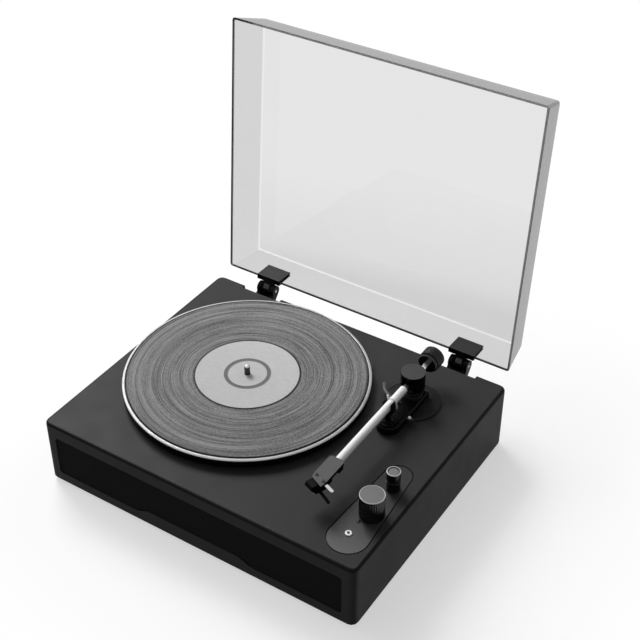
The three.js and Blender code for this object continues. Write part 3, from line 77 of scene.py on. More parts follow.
camera_place = np.array([690.9, -1026.7, 1142.3]) * mm
looking = unit([-0.43007, 0.66662, -0.60882])
to_right = unit([0.84030, 0.54212, 0.0])
to_top = np.cross(to_right, looking)
camera_columns = np.column_stack([to_right, to_top, -looking, camera_place])
camera = add_object("camera", bpy.data.cameras.new("camera"))
camera.data.lens, camera.data.sensor_width = 72.61, 36
camera.matrix_world = Matrix([*camera_columns.tolist(), (0, 0, 0, 1)])
bpy.context.scene.camera = camera
print("camera", round(float(np.linalg.norm(camera_place)), 3), "m from the middle")

# %% [markdown]
# Colours are easiest to read as the hex codes of a paint program, but a renderer mixes light in
# linear amounts. One function does that change for every colour. A material here is a small tree
# of nodes, so one more function adds a node, sets its inputs and links it in the same line.

# %% Colour and nodes
def linear(code):
    """Linear colour of a hex code: c/12.92 for dark values, ((c+0.055)/1.055)^2.4 for the rest."""
    channels = np.array([int(code[i:i + 2], 16) for i in (1, 3, 5)]) / 255
    curve = np.where(channels < 0.04045, channels / 12.92, ((channels + 0.055) / 1.055) ** 2.4)
    return (*curve.tolist(), 1.0)


def add_node(tree, kind, inputs=None, **settings):
    """One node: settings are its own options, inputs its values or the sockets linked to them."""
    node = tree.nodes.new("ShaderNode" + kind)
    for name, value in settings.items():
        setattr(node, name, value)
    for name, value in (inputs or {}).items():
        if isinstance(value, bpy.types.NodeSocket):
            tree.links.new(value, node.inputs[name])
        else:
            node.inputs[name].default_value = value
    return node


def start_material(name, color, roughness, metallic=0.0, **inputs):
    """A shader with plain values, its output, and the place on the object for its patterns."""
    material = bpy.data.materials.new(name)
    material.use_nodes = True
    tree = material.node_tree
    tree.nodes.clear()
    shader = add_node(tree, "BsdfPrincipled", {
        "Base Color": linear(color), "Roughness": roughness, "Metallic": metallic, **inputs})
    add_node(tree, "OutputMaterial", {"Surface": shader.outputs["BSDF"]})
    place = add_node(tree, "TexCoord").outputs["Object"]
    return material, tree, shader, place


def color_ramp(tree, value, stops):
    """Colours by value: each stop is a place from 0 to 1 and a hex code."""
    ramp = add_node(tree, "ValToRGB", {"Fac": value})
    while len(ramp.color_ramp.elements) < len(stops):
        ramp.color_ramp.elements.new(0.5)
    for element, (at, code) in zip(ramp.color_ramp.elements, sorted(stops)):
        element.position, element.color = at, linear(code)
    return ramp.outputs["Color"]


print("mid grey in linear light:", round(linear("#808080")[0], 3))

# %% [markdown]
# The cabinet is board wrapped in a black vinyl film with a fine leather-like grain. Light shows
# the film as a soft grey sheen rather than as a deep black. A noise at the size of the grain makes
# the bump, and a slower noise changes the sheen a little, as the glue under the film does. The
# photograph shows much less gloss on the black parts than plain plastic has, where the level is
# 0.5, so each finish keeps only a share of it.

# %% Black vinyl film
def roughen(tree, shader, noise, readings, sheen, height, depth):
    """Noise between two readings moves the roughness between two values; a height lifts the skin."""
    rough = add_node(tree, "MapRange", {
        "Value": noise, "From Min": readings[0], "From Max": readings[1],
        "To Min": sheen[0], "To Max": sheen[1]})
    bump = add_node(tree, "Bump", {"Height": height, "Strength": 1.0, "Distance": depth})
    tree.links.new(rough.outputs[0], shader.inputs["Roughness"])
    tree.links.new(bump.outputs[0], shader.inputs["Normal"])


def pebbled(name, color, roughness, grain, depth, spread=0.05, **inputs):
    """A moulded or printed grain: noise at the grain's size, with a slower one 60 grains wide."""
    material, tree, shader, place = start_material(name, color, roughness, **inputs)
    fine = add_node(tree, "TexNoise", {"Vector": place, "Scale": 1 / grain, "Detail": 3.0})
    broad = add_node(tree, "TexNoise", {"Vector": place, "Scale": 1 / (60 * grain), "Detail": 2.0})
    mixed = add_node(tree, "Math", {0: fine.outputs[0], 1: broad.outputs[0]}, operation="ADD")
    roughen(tree, shader, mixed.outputs[0], (0.6, 1.4), (roughness - spread, roughness + spread),
            fine.outputs[0], depth)
    return material


dull, deck_gloss, quiet, knob_gloss = ({"Specular IOR Level": level}
                                       for level in (0.05, 0.07, 0.22, 0.35))
vinyl_grain = 0.5 * mm
# On the walls the grain breaks the light into a soft grey sheen.
vinyl_film = pebbled("vinyl_film_embossed", "#303030", 0.46, vinyl_grain, 0.03 * mm, **dull)
# On the deck it is a slightly lighter grey, painted light, with more gloss and a flatter grain.
deck_film_painted_light = pebbled("vinyl_film_painted_light", "#323232", 0.46, vinyl_grain, 0.02 * mm, **deck_gloss)
# Round the upper edge it is painted much darker, as painted shade, and a little smoother.
edge_film_painted_shade = pebbled("vinyl_film_painted_edge_shade", "#121212", 0.4, vinyl_grain, 0.02 * mm, **dull)
print("vinyl grain", vinyl_grain / mm, "mm")

# %% [markdown]
# Injection-moulded ABS makes most of the small black parts. Its mould is spark-eroded, which
# leaves a very fine even grain, or polished, which leaves hardly any. The counterweight has a
# powder coat, and the feet and the belt are rubber. Two greys are painted light: on the tops of
# the arm housing and the headshell, and on the hinge pads.

# %% Mouldings, coats and rubber
polish, polish_depth, polish_spread = 2.0 * mm, 0.002 * mm, 0.03
# The spark-eroded grain gives an even dark satin.
satin_abs = pebbled("abs_spark_eroded", "#1c1c1c", 0.42, 0.25 * mm, 0.01 * mm, **quiet)
# Polished ABS is deep black with a clear, hardly wavy shine.
polished_abs = pebbled("abs_polished", "#0a0a0a", 0.18, polish, polish_depth, polish_spread,
                       **knob_gloss)
# Dark plates of the same plastic, such as the arm board, show plain black and reflect little.
board_abs = pebbled("abs_polished_dark", "#0b0b0b", 0.24, polish, polish_depth, polish_spread,
                    **dull)
# Powder grains melt into a skin with soft, slightly wavy lights.
powder_coat = pebbled("powder_coat_black", "#101010", 0.36, 0.6 * mm, 0.012 * mm, **quiet)
# A flat mid grey: painted light on the headshell's top and a painted highlight on the hinge pads.
grey_painted_light = pebbled("satin_grey_painted_light", "#4c4c4c", 0.5, 0.5 * mm, 0.01 * mm, **quiet)
# A darker grey is painted light on the housing's top.
housing_top_painted_light = pebbled("satin_dark_painted_light", "#303030", 0.5, 0.5 * mm, 0.01 * mm, **quiet)
# Moulded rubber gives little light back: a dull soft black.
moulded_rubber = pebbled("rubber_moulded", "#151515", 0.75, 0.4 * mm, 0.02 * mm)
# Paint sinks into fibreboard and leaves it dry and a little rough.
painted_board = pebbled("fibreboard_painted", "#1a1a1a", 0.7, 0.8 * mm, 0.04 * mm)
print("moulded finishes:", 8)

# %% [markdown]
# Two cloths are used: an open plain weave over the speakers, and a felt mat under the record.
# A plain weave is two sets of parallel threads, so two wave textures at right angles are taken
# together. The threads are drawn a little coarser than real ones so that they show. The speaker
# cones are pressed paper pulp.

# %% Cloth, felt and paper pulp
def woven(name, dark, light, pitch, axes):
    """A plain weave: the larger of two crossed waves, one along each thread direction."""
    material, tree, shader, place = start_material(name, dark, 0.85, **dull)
    # Blender's wave has 10 / pi bands to a unit at scale 1.
    waves = [add_node(tree, "TexWave", {"Vector": place, "Scale": math.pi / (10 * pitch),
                                        "Distortion": 0.4, "Detail": 1.0},
                      bands_direction=axis).outputs["Fac"] for axis in axes]
    threads = add_node(tree, "Math", {0: waves[0], 1: waves[1]}, operation="MAXIMUM")
    bump = add_node(tree, "Bump", {
        "Height": threads.outputs[0], "Strength": 1.0, "Distance": pitch / 4})
    tree.links.new(color_ramp(tree, threads.outputs[0], [(0.3, dark), (1.0, light)]),
                   shader.inputs["Base Color"])
    tree.links.new(bump.outputs[0], shader.inputs["Normal"])
    return material


thread_pitch = 0.9 * mm
# The weave shows as rows of dark grey threads with black gaps between them.
speaker_cloth = woven("polyester_speaker_cloth", "#0a0a0a", "#242424", thread_pitch, "XZ")
# Felt swallows the light: a soft black nap without any shine.
felt = pebbled("wool_felt", "#141414", 0.95, 0.3 * mm, 0.08 * mm)
# Pressed pulp is matt, warm black and slightly lumpy from its fibres.
paper_pulp = pebbled("pressed_paper_pulp", "#1c1b1a", 0.9, 1.2 * mm, 0.05 * mm)
print("threads", thread_pitch / mm, "mm apart")

# %% [markdown]
# Metals show how they were worked. Brushing leaves long scratches one way, a lathe leaves fine
# rings, and polishing leaves almost nothing. Stretching a noise along one axis draws scratches,
# and a noise read by the distance from an axis draws rings. Metals keep their own default IOR.

# %% Metals
def scratched(name, color, roughness, stretch, depth, metallic=1.0):
    """Brushed metal: noise stretched along the scratches, which shifts the sheen and the skin."""
    material, tree, shader, place = start_material(name, color, roughness, metallic)
    along = add_node(tree, "Mapping", {"Vector": place, "Scale": stretch})
    hairs = add_node(tree, "TexNoise", {"Vector": along.outputs[0], "Scale": 1.0, "Detail": 4.0})
    roughen(tree, shader, hairs.outputs[0], (0.3, 0.7), (roughness * 0.75, roughness * 1.3),
            hairs.outputs[0], depth)
    return material


def from_axis(tree, place, centre):
    """The flat arrow from an upright axis to each point of the surface, and its length."""
    moved = add_node(tree, "Mapping", {"Vector": place, "Location": (-centre[0], -centre[1], 0)})
    flat = add_node(tree, "VectorMath", {0: moved.outputs[0], 1: (1, 1, 0)}, operation="MULTIPLY")
    reach = add_node(tree, "VectorMath", {0: flat.outputs[0]}, operation="LENGTH")
    return flat.outputs[0], reach.outputs["Value"]


def lathe_turned(name, color, roughness, centre, pitch, depth, metallic=1.0, **inputs):
    """Fine rings about an upright axis: noise along the distance from the centre."""
    material, tree, shader, place = start_material(name, color, roughness, metallic, **inputs)
    reach = from_axis(tree, place, centre)[1]
    rings = add_node(tree, "TexNoise", {"W": reach, "Scale": 1 / pitch, "Detail": 2.0},
                     noise_dimensions="1D")
    roughen(tree, shader, rings.outputs[0], (0.3, 0.7), (roughness * 0.8, roughness * 1.25),
            rings.outputs[0], depth)
    return material


# Both are counts in a metre: grains 2.5 mm wide, and scratches 0.25 mm wide and 17 mm long.
every_way, plate_scratches = (400, 400, 400), (4000, 60, 60)
# Brushing and a grey tint leave the plate a dim, streaky grey.
brushed_plate = scratched("aluminium_brushed_dark", "#565656", 0.42, plate_scratches, 0.004 * mm, 0.6)
# Chrome mirrors what stands round it almost unbroken.
polished_chrome = scratched("chrome_polished", "#dcdcdc", 0.14, every_way, 0.001 * mm)
# Plain steel has a soft, even grey shine.
satin_steel = scratched("steel_satin", "#b4b4b4", 0.34, every_way, 0.004 * mm)
# Blackened steel keeps the shine of a metal on a dark ground.
dark_steel = scratched("steel_blackened", "#4a4a4a", 0.42, every_way, 0.003 * mm)
# Polished aluminium is bright under a fine veil.
polished_aluminium = scratched("aluminium_polished", "#dedede", 0.24, every_way, 0.002 * mm)
# A light aluminium under a scattering lacquer: a painted highlight line on the rim's slopes, and the jack's bright
# nut.
bright_aluminium_and_rim_highlight = scratched("aluminium_rim", "#d8d8d8", 0.36, every_way, 0.002 * mm, 0.4)
# The rim's flat top under the same lacquer shows a plain light grey.
grey_rim = scratched("aluminium_rim_flat", "#8c8c8c", 0.4, every_way, 0.002 * mm, 0.4)
# Blasted aluminium is a quiet mid grey.
satin_aluminium = scratched("aluminium_satin", "#8a8a8a", 0.45, every_way, 0.003 * mm)
# Enamel is a smooth glossy white.
white_enamel = pebbled("enamel_white", "#f4f4f4", 0.2, 3.0 * mm, 0.004 * mm, 0.03)
# Lacquer over glass fibre gives the circuit board its green satin.
board_lacquer = pebbled("circuit_board_lacquer", "#24513a", 0.4, 1.5 * mm, 0.02 * mm)
print("metals, enamel and lacquer:", 10)

# %% [markdown]
# The parts that stay as their CAD meshes only need a finish. Most of them sit inside the
# cabinet: speakers, amplifier, motor, belt and bearings.

# %% Finish the parts that stay
stays = {
    "bottom_board": painted_board, "grille_cloth": speaker_cloth,
    "speaker_frame_left": satin_abs, "speaker_frame_right": satin_abs,
    "speaker_cone_left": paper_pulp, "speaker_cone_right": paper_pulp,
    "amplifier_board": board_lacquer, "drive_motor": satin_steel, "motor_pulley": satin_steel,
    "drive_belt": moulded_rubber, "spindle_bearing": satin_steel, "slip_mat": felt,
    "volume_control_case": satin_steel, "selector_switch_case": satin_steel,
}
for node, material in stays.items():
    mesh = frame["nodes"][node].data
    mesh.materials.clear()
    mesh.materials.append(material)
print(len(stays), "nodes keep their CAD shape")

# %% [markdown]
# New surfaces are grids: rows run along a profile, columns run round it. Whole arrays make all
# points at once, and four neighbouring points make a face. Each ring runs counter-clockwise seen
# from its end, so that a surface built upwards faces out and one built downwards faces in.

# %% Grid surfaces
def grid_faces(rows, columns, joined):
    """Quads (i,j) (i,j+1) (i+1,j+1) (i+1,j); columns wrap, and rows too where joined."""
    i = np.arange(rows if joined else rows - 1)[:, None]
    j = np.arange(columns)[None, :]
    after_i, after_j = (i + 1) % rows, (j + 1) % columns
    corners = [i * columns + j, i * columns + after_j,
               after_i * columns + after_j, after_i * columns + j]
    return np.stack(np.broadcast_arrays(*corners), -1).reshape(-1, 4)


def surface(name, rings, joined=False):
    """A closed body through rings of points, an array of rows x columns x 3, with flat ends.

    Edges over 32 degrees stay sharp in the shading, and all others look round.
    """
    rows, columns = rings.shape[:2]
    faces = grid_faces(rows, columns, joined).tolist()
    if not joined:
        first = np.arange(columns)
        faces += [first[::-1].tolist(), (first + (rows - 1) * columns).tolist()]
    mesh = bpy.data.meshes.new(name)
    mesh.from_pydata(rings.reshape(-1, 3).tolist(), [], faces)
    mesh.shade_smooth()
    mesh.set_sharp_from_angle(angle=math.radians(32))
    made = add_object(name, mesh)
    flat = made.modifiers.new("flat_faces", "WEIGHTED_NORMAL")
    flat.keep_sharp, flat.weight = True, 80
    return made


def dress(made, node, *materials):
    """The new piece takes its CAD node's place: its body and its finish, and the node is hidden."""
    for material in materials:
        made.data.materials.append(material)
    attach(made, body_of[node])
    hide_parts(node)
    return made


print("a 4 by 6 grid has", len(grid_faces(4, 6, False)), "faces")

# %% [markdown]
# Nothing real has a perfectly sharp edge: tools and moulds leave a small round that catches a
# thin line of light. In a profile, each corner is replaced by a short curve. The curve starts a
# given distance before the corner and ends the same distance after it.

# %% Eased corners and turned bodies
def eased(outline, ease, closed=False):
    """Corner P becomes (1-t)^2 A + 2t(1-t) P + t^2 B, with A and B an ease away on both sides.

    On a short side the ease is at most 0.45 of its length, so that two curves never meet.
    """
    points = np.asarray(outline, float)
    before, after = np.roll(points, 1, 0) - points, np.roll(points, -1, 0) - points
    near = [points + side * np.minimum(ease / np.linalg.norm(side, axis=1), 0.45)[:, None]
            for side in (before, after)]
    t = np.linspace(0, 1, 5)[None, :, None]
    curves = ((1 - t) ** 2 * near[0][:, None] + 2 * t * (1 - t) * points[:, None]
              + t ** 2 * near[1][:, None])
    if closed:
        return curves.reshape(-1, 2)
    return np.vstack([points[:1], curves[1:-1].reshape(-1, 2), points[-1:]])


def carried(x, y, z, place):
    """Points at x, y and z along the axes of a place, as an array of rows x columns x 3."""
    points = np.stack(np.broadcast_arrays(x, y, z, 1.0), -1)
    return (points @ np.array(place).T)[..., :3]


def turned(name, profile, place, ease=0.0, closed=False, columns=64):
    """A turned body: (r cos a, r sin a, h) for each [r, h] of its half section, corners eased."""
    section = eased(profile, ease, closed) if ease else np.asarray(profile)
    angle = np.arange(columns) / columns * 2 * math.pi
    r, h = section.T[..., None]
    return surface(name, carried(r * np.cos(angle), r * np.sin(angle), h, place), joined=closed)


def read_vectors(elements, field, place=Matrix.Identity(4)):
    """A vector of each corner or face of a mesh, read in the axes of a place."""
    vectors = np.empty(len(elements) * 3)
    elements.foreach_get(field, vectors)
    inverse = np.array(place.inverted())
    return vectors.reshape(-1, 3) @ inverse[:3, :3].T + inverse[:3, 3]


def points_in(node, place):
    """The corner points of a CAD node, read in the axes of a place."""
    return read_vectors(frame["nodes"][node].data.vertices, "co", place)


def measure(node, place):
    """Widest radius, lowest and highest point of a turned CAD node about a place's third axis."""
    points = points_in(node, place)
    return np.linalg.norm(points[:, :2], axis=1).max(), points[:, 2].min(), points[:, 2].max()


def upright(node):
    """The place of an upright turned part: the middle of its box, at the height of the floor."""
    low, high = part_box(node)
    return Matrix.Translation(((low.x + high.x) / 2, (low.y + high.y) / 2, 0))


square = [[0, 0], [1, 0], [1, 1], [0, 1]]
print("an eased square has", len(eased(square, 0.1, closed=True)), "points")

# %% [markdown]
# Parts with pockets and holes, such as the cabinet, are already right in CAD. A copy of such a
# mesh is merged, its flat areas are dissolved into single faces, and a Bevel modifier eases the
# edges. Weighted normals keep the large faces flat beside their narrow rounds. The control plate
# has a finish of its own: brushed aluminium with a painted sheen, a grey that darkens towards the
# back, and an eased edge painted black as the shade of its seam.

# %% Copies with eased edges
def sheen_painted_plate(front, back):
    """Brushed metal with a painted sheen: a grey that darkens from y = front to y = back."""
    material = brushed_plate.copy()
    material.name = "aluminium_brushed_painted_sheen"
    tree = material.node_tree
    along = add_node(tree, "SeparateXYZ", {0: add_node(tree, "TexCoord").outputs["Object"]})
    share = add_node(tree, "MapRange", {
        "Value": along.outputs["Y"], "From Min": front, "From Max": back})
    tint = color_ramp(tree, share.outputs[0],
                      [(0.0, "#424242"), (0.4, "#303030"), (0.8, "#202020")])
    tree.links.new(tint, tree.nodes["Principled BSDF"].inputs["Base Color"])
    return material


def eased_copy(name, node, width):
    """A copy of a CAD part whose edges sharper than 28 degrees get a small round."""
    flat_angle, round_angle, sharp_angle = (math.radians(each) for each in (0.5, 28, 40))
    mesh = frame["nodes"][node].data.copy()
    mesh.name = name
    mesh.materials.clear()
    work = bmesh.new()
    work.from_mesh(mesh)
    bmesh.ops.remove_doubles(work, verts=work.verts, dist=0.002 * mm)
    bmesh.ops.dissolve_limit(work, angle_limit=flat_angle, verts=work.verts, edges=work.edges)
    work.to_mesh(mesh)
    work.free()
    mesh.shade_smooth()
    mesh.set_sharp_from_angle(angle=sharp_angle)
    made = add_object(name, mesh)
    bevel = made.modifiers.new("eased_edges", "BEVEL")
    bevel.width, bevel.segments, bevel.limit_method = width, 2, "ANGLE"
    bevel.angle_limit, bevel.use_clamp_overlap = round_angle, True
    flat = made.modifiers.new("flat_faces", "WEIGHTED_NORMAL")
    flat.keep_sharp, flat.weight = False, 90
    return made


def finish_faces(made, which):
    """Each face takes one of the piece's finishes by its number."""
    made.data.polygons.foreach_set("material_index", np.asarray(which, np.int32))


def rise(made):
    """The upward share of each face's direction: 1 for a top, 0 for a wall, -1 for an underside."""
    return read_vectors(made.data.polygons, "normal")[:, 2]


plate_low, plate_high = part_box("control_panel")
plate_with_painted_sheen = sheen_painted_plate(plate_low.y, plate_high.y)
copies = {
    "cabinet_wrap": ("plinth_cabinet", 0.7, vinyl_film, edge_film_painted_shade, deck_film_painted_light),
    "arm_board_cover": ("arm_board", 0.4, board_abs),
    "arm_cradle": ("arm_rest", 0.4, board_abs),
    "arm_housing_shell": ("arm_housing", 0.5, board_abs, housing_top_painted_light),
    "arm_gimbal": ("arm_pivot_block", 0.3, board_abs),
    "cartridge_body": ("cartridge", 0.3, board_abs),
    "headshell_body": ("headshell", 0.35, board_abs, grey_painted_light),
    "finger_blade": ("finger_lift", 0.3, satin_aluminium),
    "rear_panel": ("back_panel", 0.3, satin_abs),
    "control_plate": ("control_panel", 1.4, plate_with_painted_sheen, board_abs),
    "cover_clip_left": ("hinge_clip_left", 0.5, board_abs, satin_abs),
    "cover_clip_right": ("hinge_clip_right", 0.5, board_abs, satin_abs),
    "hinge_ears_left": ("hinge_bracket_left", 0.5, board_abs),
    "hinge_ears_right": ("hinge_bracket_right", 0.5, board_abs),
}
dressed = {name: dress(eased_copy(name, node, width * mm), node, *materials)
           for name, (node, width, *materials) in copies.items()}
# Faces that point up take the lighter finish: painted light on these tops, with painted shade on the darker sides.
for name in ("arm_housing_shell", "headshell_body", "cover_clip_left", "cover_clip_right"):
    finish_faces(dressed[name], rise(dressed[name]) > 0.5)
# On the cabinet, flat tops take the painted-light film and the leaning upper edge the painted-shade film.
wrap, leaning, flat_top = dressed["cabinet_wrap"], 0.15, 0.97
finish_faces(wrap, np.where(rise(wrap) > flat_top, 2, rise(wrap) > leaning))
# The plate's eased edge takes the black finish: painted shade of the seam round the plate.
dressed["control_plate"].modifiers["eased_edges"].material = 1
print(len(copies), "eased copies")

# %% [markdown]
# A thin black strip, painted shadow, lies in the gap between the control plate and the deck. It
# follows the plate's outline: two round ends joined by their tangents. At a tangent both ends face
# the same way, so it is enough to walk round both ends and push each point out along its own direction.

# %% Plate shadow strip
def lengths(*values):
    """Lengths that are given in millimetres."""
    return [value * mm for value in values]


front_end, back_end, end_shift, inner, outer, slope = lengths(24.2, 16.4, 1.6, 0.1, 1.3, 0.1)
shadow_strip_foot, shadow_strip_top = plate_high.z - 0.9 * mm, plate_high.z + 0.15 * mm
ends = np.array([[plate_high.x - front_end, plate_low.y + front_end],
                 [plate_high.x - front_end - end_shift, plate_high.y - back_end]])
span = ends[1] - ends[0]
# A tangent leaves both ends at the angle whose cosine is the difference of the radii by the span.
leaving = math.acos((front_end - back_end) / np.linalg.norm(span))
end_steps = (61, 41)
facing = math.atan2(span[1], span[0]) + np.concatenate([
    np.linspace(leaving, 2 * math.pi - leaving, end_steps[0]),
    np.linspace(-leaving, leaving, end_steps[1])])
shadow_strip_section = eased([[inner, shadow_strip_foot], [inner, shadow_strip_top], [outer, shadow_strip_top - slope],
                        [outer, shadow_strip_foot]], 0.15 * mm, closed=True)
reach = np.repeat([front_end, back_end], end_steps)[:, None] + shadow_strip_section[:, 0]
end_x, end_y = np.repeat(ends, end_steps, 0).T[..., None]
x, y = end_x + np.cos(facing)[:, None] * reach, end_y + np.sin(facing)[:, None] * reach
shadow_strip_rings = carried(x, y, shadow_strip_section[:, 1], Matrix.Identity(4))
# A dark strip where there is only the seam's shade: painted shadow.
dress(surface("plate_shadow_strip", shadow_strip_rings, joined=True), "control_panel", board_abs)
print("shadow_strip", round(float(np.hypot(np.diff(x[:, 0]), np.diff(y[:, 0])).sum()) / mm), "mm round")

# %% [markdown]
# The platter is a black moulding with a skirt that hides the belt. Its rim is a separate ring of
# lacquered aluminium that stands a little higher than the mat and frames the record.

# %% Platter and rim
def faces_in(made, place):
    """How far the middle of each face is from a place's third axis, and how high it is on it."""
    middles = read_vectors(made.data.polygons, "center", place)
    return np.linalg.norm(middles[:, :2], axis=1), middles[:, 2]


platter_place = upright("platter")
centre = platter_place.translation
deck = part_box("plinth_cabinet")[1].z
platter_radius, platter_low, platter_high = measure("platter", platter_place)
plate, skirt, bore, hub, ring_out, ring_in = lengths(2.3, 3.0, 3.9, 16.0, 92.0, 89.0)
skirt_gap, tip_width, tip_height = lengths(3.2, 0.6, 1.2)
skirt_foot, under, skirt_in = deck + skirt_gap, platter_high - plate, platter_radius - skirt
platter_section = [
    [bore, platter_low], [hub, platter_low], [hub, under], [ring_in, under], [ring_in, skirt_foot],
    [ring_out, skirt_foot], [ring_out, under], [skirt_in, under], [skirt_in, skirt_foot],
    [platter_radius - tip_width, skirt_foot], [platter_radius, skirt_foot + tip_height],
    [platter_radius, platter_high], [bore, platter_high]]
dress(turned("platter_moulding", platter_section, platter_place, 0.5 * mm, closed=True, columns=192),
      "platter", board_abs)

rim_radius, rim_low, rim_high = measure("platter_rim", platter_place)
rim_width, outer_drop, outer_slope, inner_slope, ledge, painted_shadow_ledge = lengths(
    4.4, 1.4, 1.1, 1.3, 0.9, 1.2)
rim_inner = rim_radius - rim_width
rim_section = [[rim_inner, rim_low], [rim_radius, rim_low], [rim_radius, rim_high - outer_drop],
               [rim_radius - outer_slope, rim_high], [rim_inner + inner_slope, rim_high],
               [rim_inner + ledge, rim_high - ledge], [rim_inner, rim_high - ledge]]
ring = turned("platter_rim_ring", rim_section, platter_place, 0.3 * mm, closed=True, columns=192)
dress(ring, "platter_rim", grey_rim, bright_aluminium_and_rim_highlight, satin_abs)
# The slopes get a painted highlight, the flat top is grey, and the ledge beside the mat is painted shadow black.
painted_highlight_slopes = (rise(ring) > 0.1) & (rise(ring) < 0.98)
finish_faces(ring, np.where(faces_in(ring, platter_place)[0] < rim_inner + painted_shadow_ledge, 2, painted_highlight_slopes))
print("platter", round(platter_radius * 2 / mm, 1), "mm across")

# %% [markdown]
# A pressed record has one spiral groove, too fine to see, but the eye sees its bands. Loud and
# quiet music change the sheen from turn to turn; that sheen is painted into the colour as grey
# bands and streaks, and the smooth rings that part the songs are painted dark. The surface is
# read by its distance from the spindle: a ramp gives the bands, and a noise stretched far round
# the circle gives the streaks. The angle enters as a direction, so it has no seam.

# %% Pressed vinyl
def swirl_noise(tree, direction, reach, pitch, turns):
    """Noise over (direction x turns, r / pitch): long arcs, one pitch wide, that fade in and out."""
    across = add_node(tree, "Math", {0: reach, 1: 1 / pitch}, operation="MULTIPLY")
    lift = add_node(tree, "CombineXYZ", {"Z": across.outputs[0]})
    wide = add_node(tree, "VectorMath", {0: direction, "Scale": turns}, operation="SCALE")
    spot = add_node(tree, "VectorMath", {0: wide.outputs[0], 1: lift.outputs[0]}, operation="ADD")
    return add_node(tree, "TexNoise", {"Vector": spot.outputs[0], "Scale": 1.0, "Detail": 3.0,
                                       "Roughness": 0.6}).outputs[0]


def record_painted_sheen(centre, radius, label):
    """Painted groove sheen by distance from the centre r: bands by r / radius, streaks by direction and r."""
    smooth, groove, inner = "#303030", "#747474", label / radius
    song_gaps, half_gap = (0.565, 0.7, 0.716, 0.86), 0.003
    arc_pitches, arc_turns, layer_weights = (0.8, 3.4, 11.0), (1.2, 0.6, 1.0), (0.36, 0.22, 0.14, 0.28)
    material, tree, shader, place = start_material("vinyl_painted_groove_sheen", groove, 0.34, **dull)
    flat, reach = from_axis(tree, place, centre)
    direction = add_node(tree, "VectorMath", {0: flat}, operation="NORMALIZE").outputs[0]
    layers = [swirl_noise(tree, direction, reach, pitch * mm, turns)
              for pitch, turns in zip(arc_pitches, arc_turns)]
    specks = add_node(tree, "TexNoise", {"Vector": place, "Scale": 1 / (1.1 * mm), "Detail": 1.0})
    total = 0.0
    for layer, weight in zip([*layers, specks.outputs[0]], layer_weights):
        total = add_node(tree, "Math", {0: layer, 1: weight, 2: total},
                         operation="MULTIPLY_ADD").outputs[0]
    share = add_node(tree, "Math", {0: reach, 1: radius}, operation="DIVIDE")
    stops = [(0.0, smooth), (inner + 0.012, smooth), (inner + 0.02, groove)]
    for gap in song_gaps:
        stops += [(gap - half_gap, groove), (gap, smooth), (gap + half_gap, groove)]
    bands = color_ramp(tree, share.outputs[0], stops + [(0.988, groove), (1.0, smooth)])
    shade = add_node(tree, "MapRange", {"Value": total, "From Min": 0.43, "From Max": 0.57,
                                        "To Min": 0.4, "To Max": 1.55})
    color = add_node(tree, "VectorMath", {0: bands, 1: shade.outputs[0]}, operation="MULTIPLY")
    bump = add_node(tree, "Bump", {"Height": total, "Strength": 1.0, "Distance": 0.05 * mm})
    tree.links.new(color.outputs[0], shader.inputs["Base Color"])
    tree.links.new(bump.outputs[0], shader.inputs["Normal"])
    return material


record_radius, record_low, record_high = measure("record", platter_place)
label_radius, label_low, label_high = measure("record_label", platter_place)
edge_foot, edge_rise, edge_lean, bead, slope, sunk, label_step = lengths(
    0.3, 0.6, 0.4, 3.0, 0.5, 0.5, 0.25)
groove_top = record_high - sunk
record_section = [
    [bore, record_low], [record_radius - edge_foot, record_low],
    [record_radius, record_low + edge_rise], [record_radius - edge_lean, record_high],
    [record_radius - bead, record_high], [record_radius - bead - slope, groove_top],
    [label_radius + bead, groove_top], [label_radius + bead - slope, groove_top + label_step],
    [bore, groove_top + label_step]]
# The grooves' scattered light is painted as grey arcs, and smooth vinyl between them stays dark.
dress(turned("record_painted_sheen", record_section, platter_place, 0.3 * mm, closed=True, columns=192),
      "record", record_painted_sheen(centre, record_radius, label_radius))

# %% [markdown]
# The label is plain silver-grey paper with the pressing ring of the mould in it. Foiled paper has
# a slight one-way grain, so the shade shifts in long faint streaks across it. The spindle is a
# dark steel pin with a round nose, whose top is bright steel as a painted highlight.

# %% Label and spindle
def foiled_paper(centre, radius):
    """Silver-grey paper: faint streaks one way, and a darker ring from 0.38 to 0.45 of the radius."""
    paper, pressed, blur = "#b6b6b6", "#606060", 0.006
    ring_from, ring_to = 0.38, 0.45
    # Counts in a metre: streaks 0.56 mm wide and 11 mm long.
    streaks = (90, 1800, 90)
    material, tree, shader, place = start_material("paper_silver_foiled", paper, 0.6, **quiet)
    share = add_node(tree, "Math", {0: from_axis(tree, place, centre)[1], 1: radius},
                     operation="DIVIDE")
    rings = color_ramp(tree, share.outputs[0], [
        (0.0, paper), (ring_from - blur, paper), (ring_from, pressed), (ring_to, pressed),
        (ring_to + blur, paper), (1.0, paper)])
    along = add_node(tree, "Mapping", {"Vector": place, "Scale": streaks})
    grain = add_node(tree, "TexNoise", {"Vector": along.outputs[0], "Scale": 1.0, "Detail": 3.0})
    shade = add_node(tree, "MapRange", {"Value": grain.outputs[0], "From Min": 0.3, "From Max": 0.7,
                                        "To Min": 0.86, "To Max": 1.1})
    color = add_node(tree, "VectorMath", {0: rings, 1: shade.outputs[0]}, operation="MULTIPLY")
    tree.links.new(color.outputs[0], shader.inputs["Base Color"])
    return material


def ball_profile(radius, height, turn):
    """Half section (R cos t, H + R sin t) of a ball of radius R with its middle at height H."""
    return np.stack([radius * np.cos(turn), height + radius * np.sin(turn)], 1)


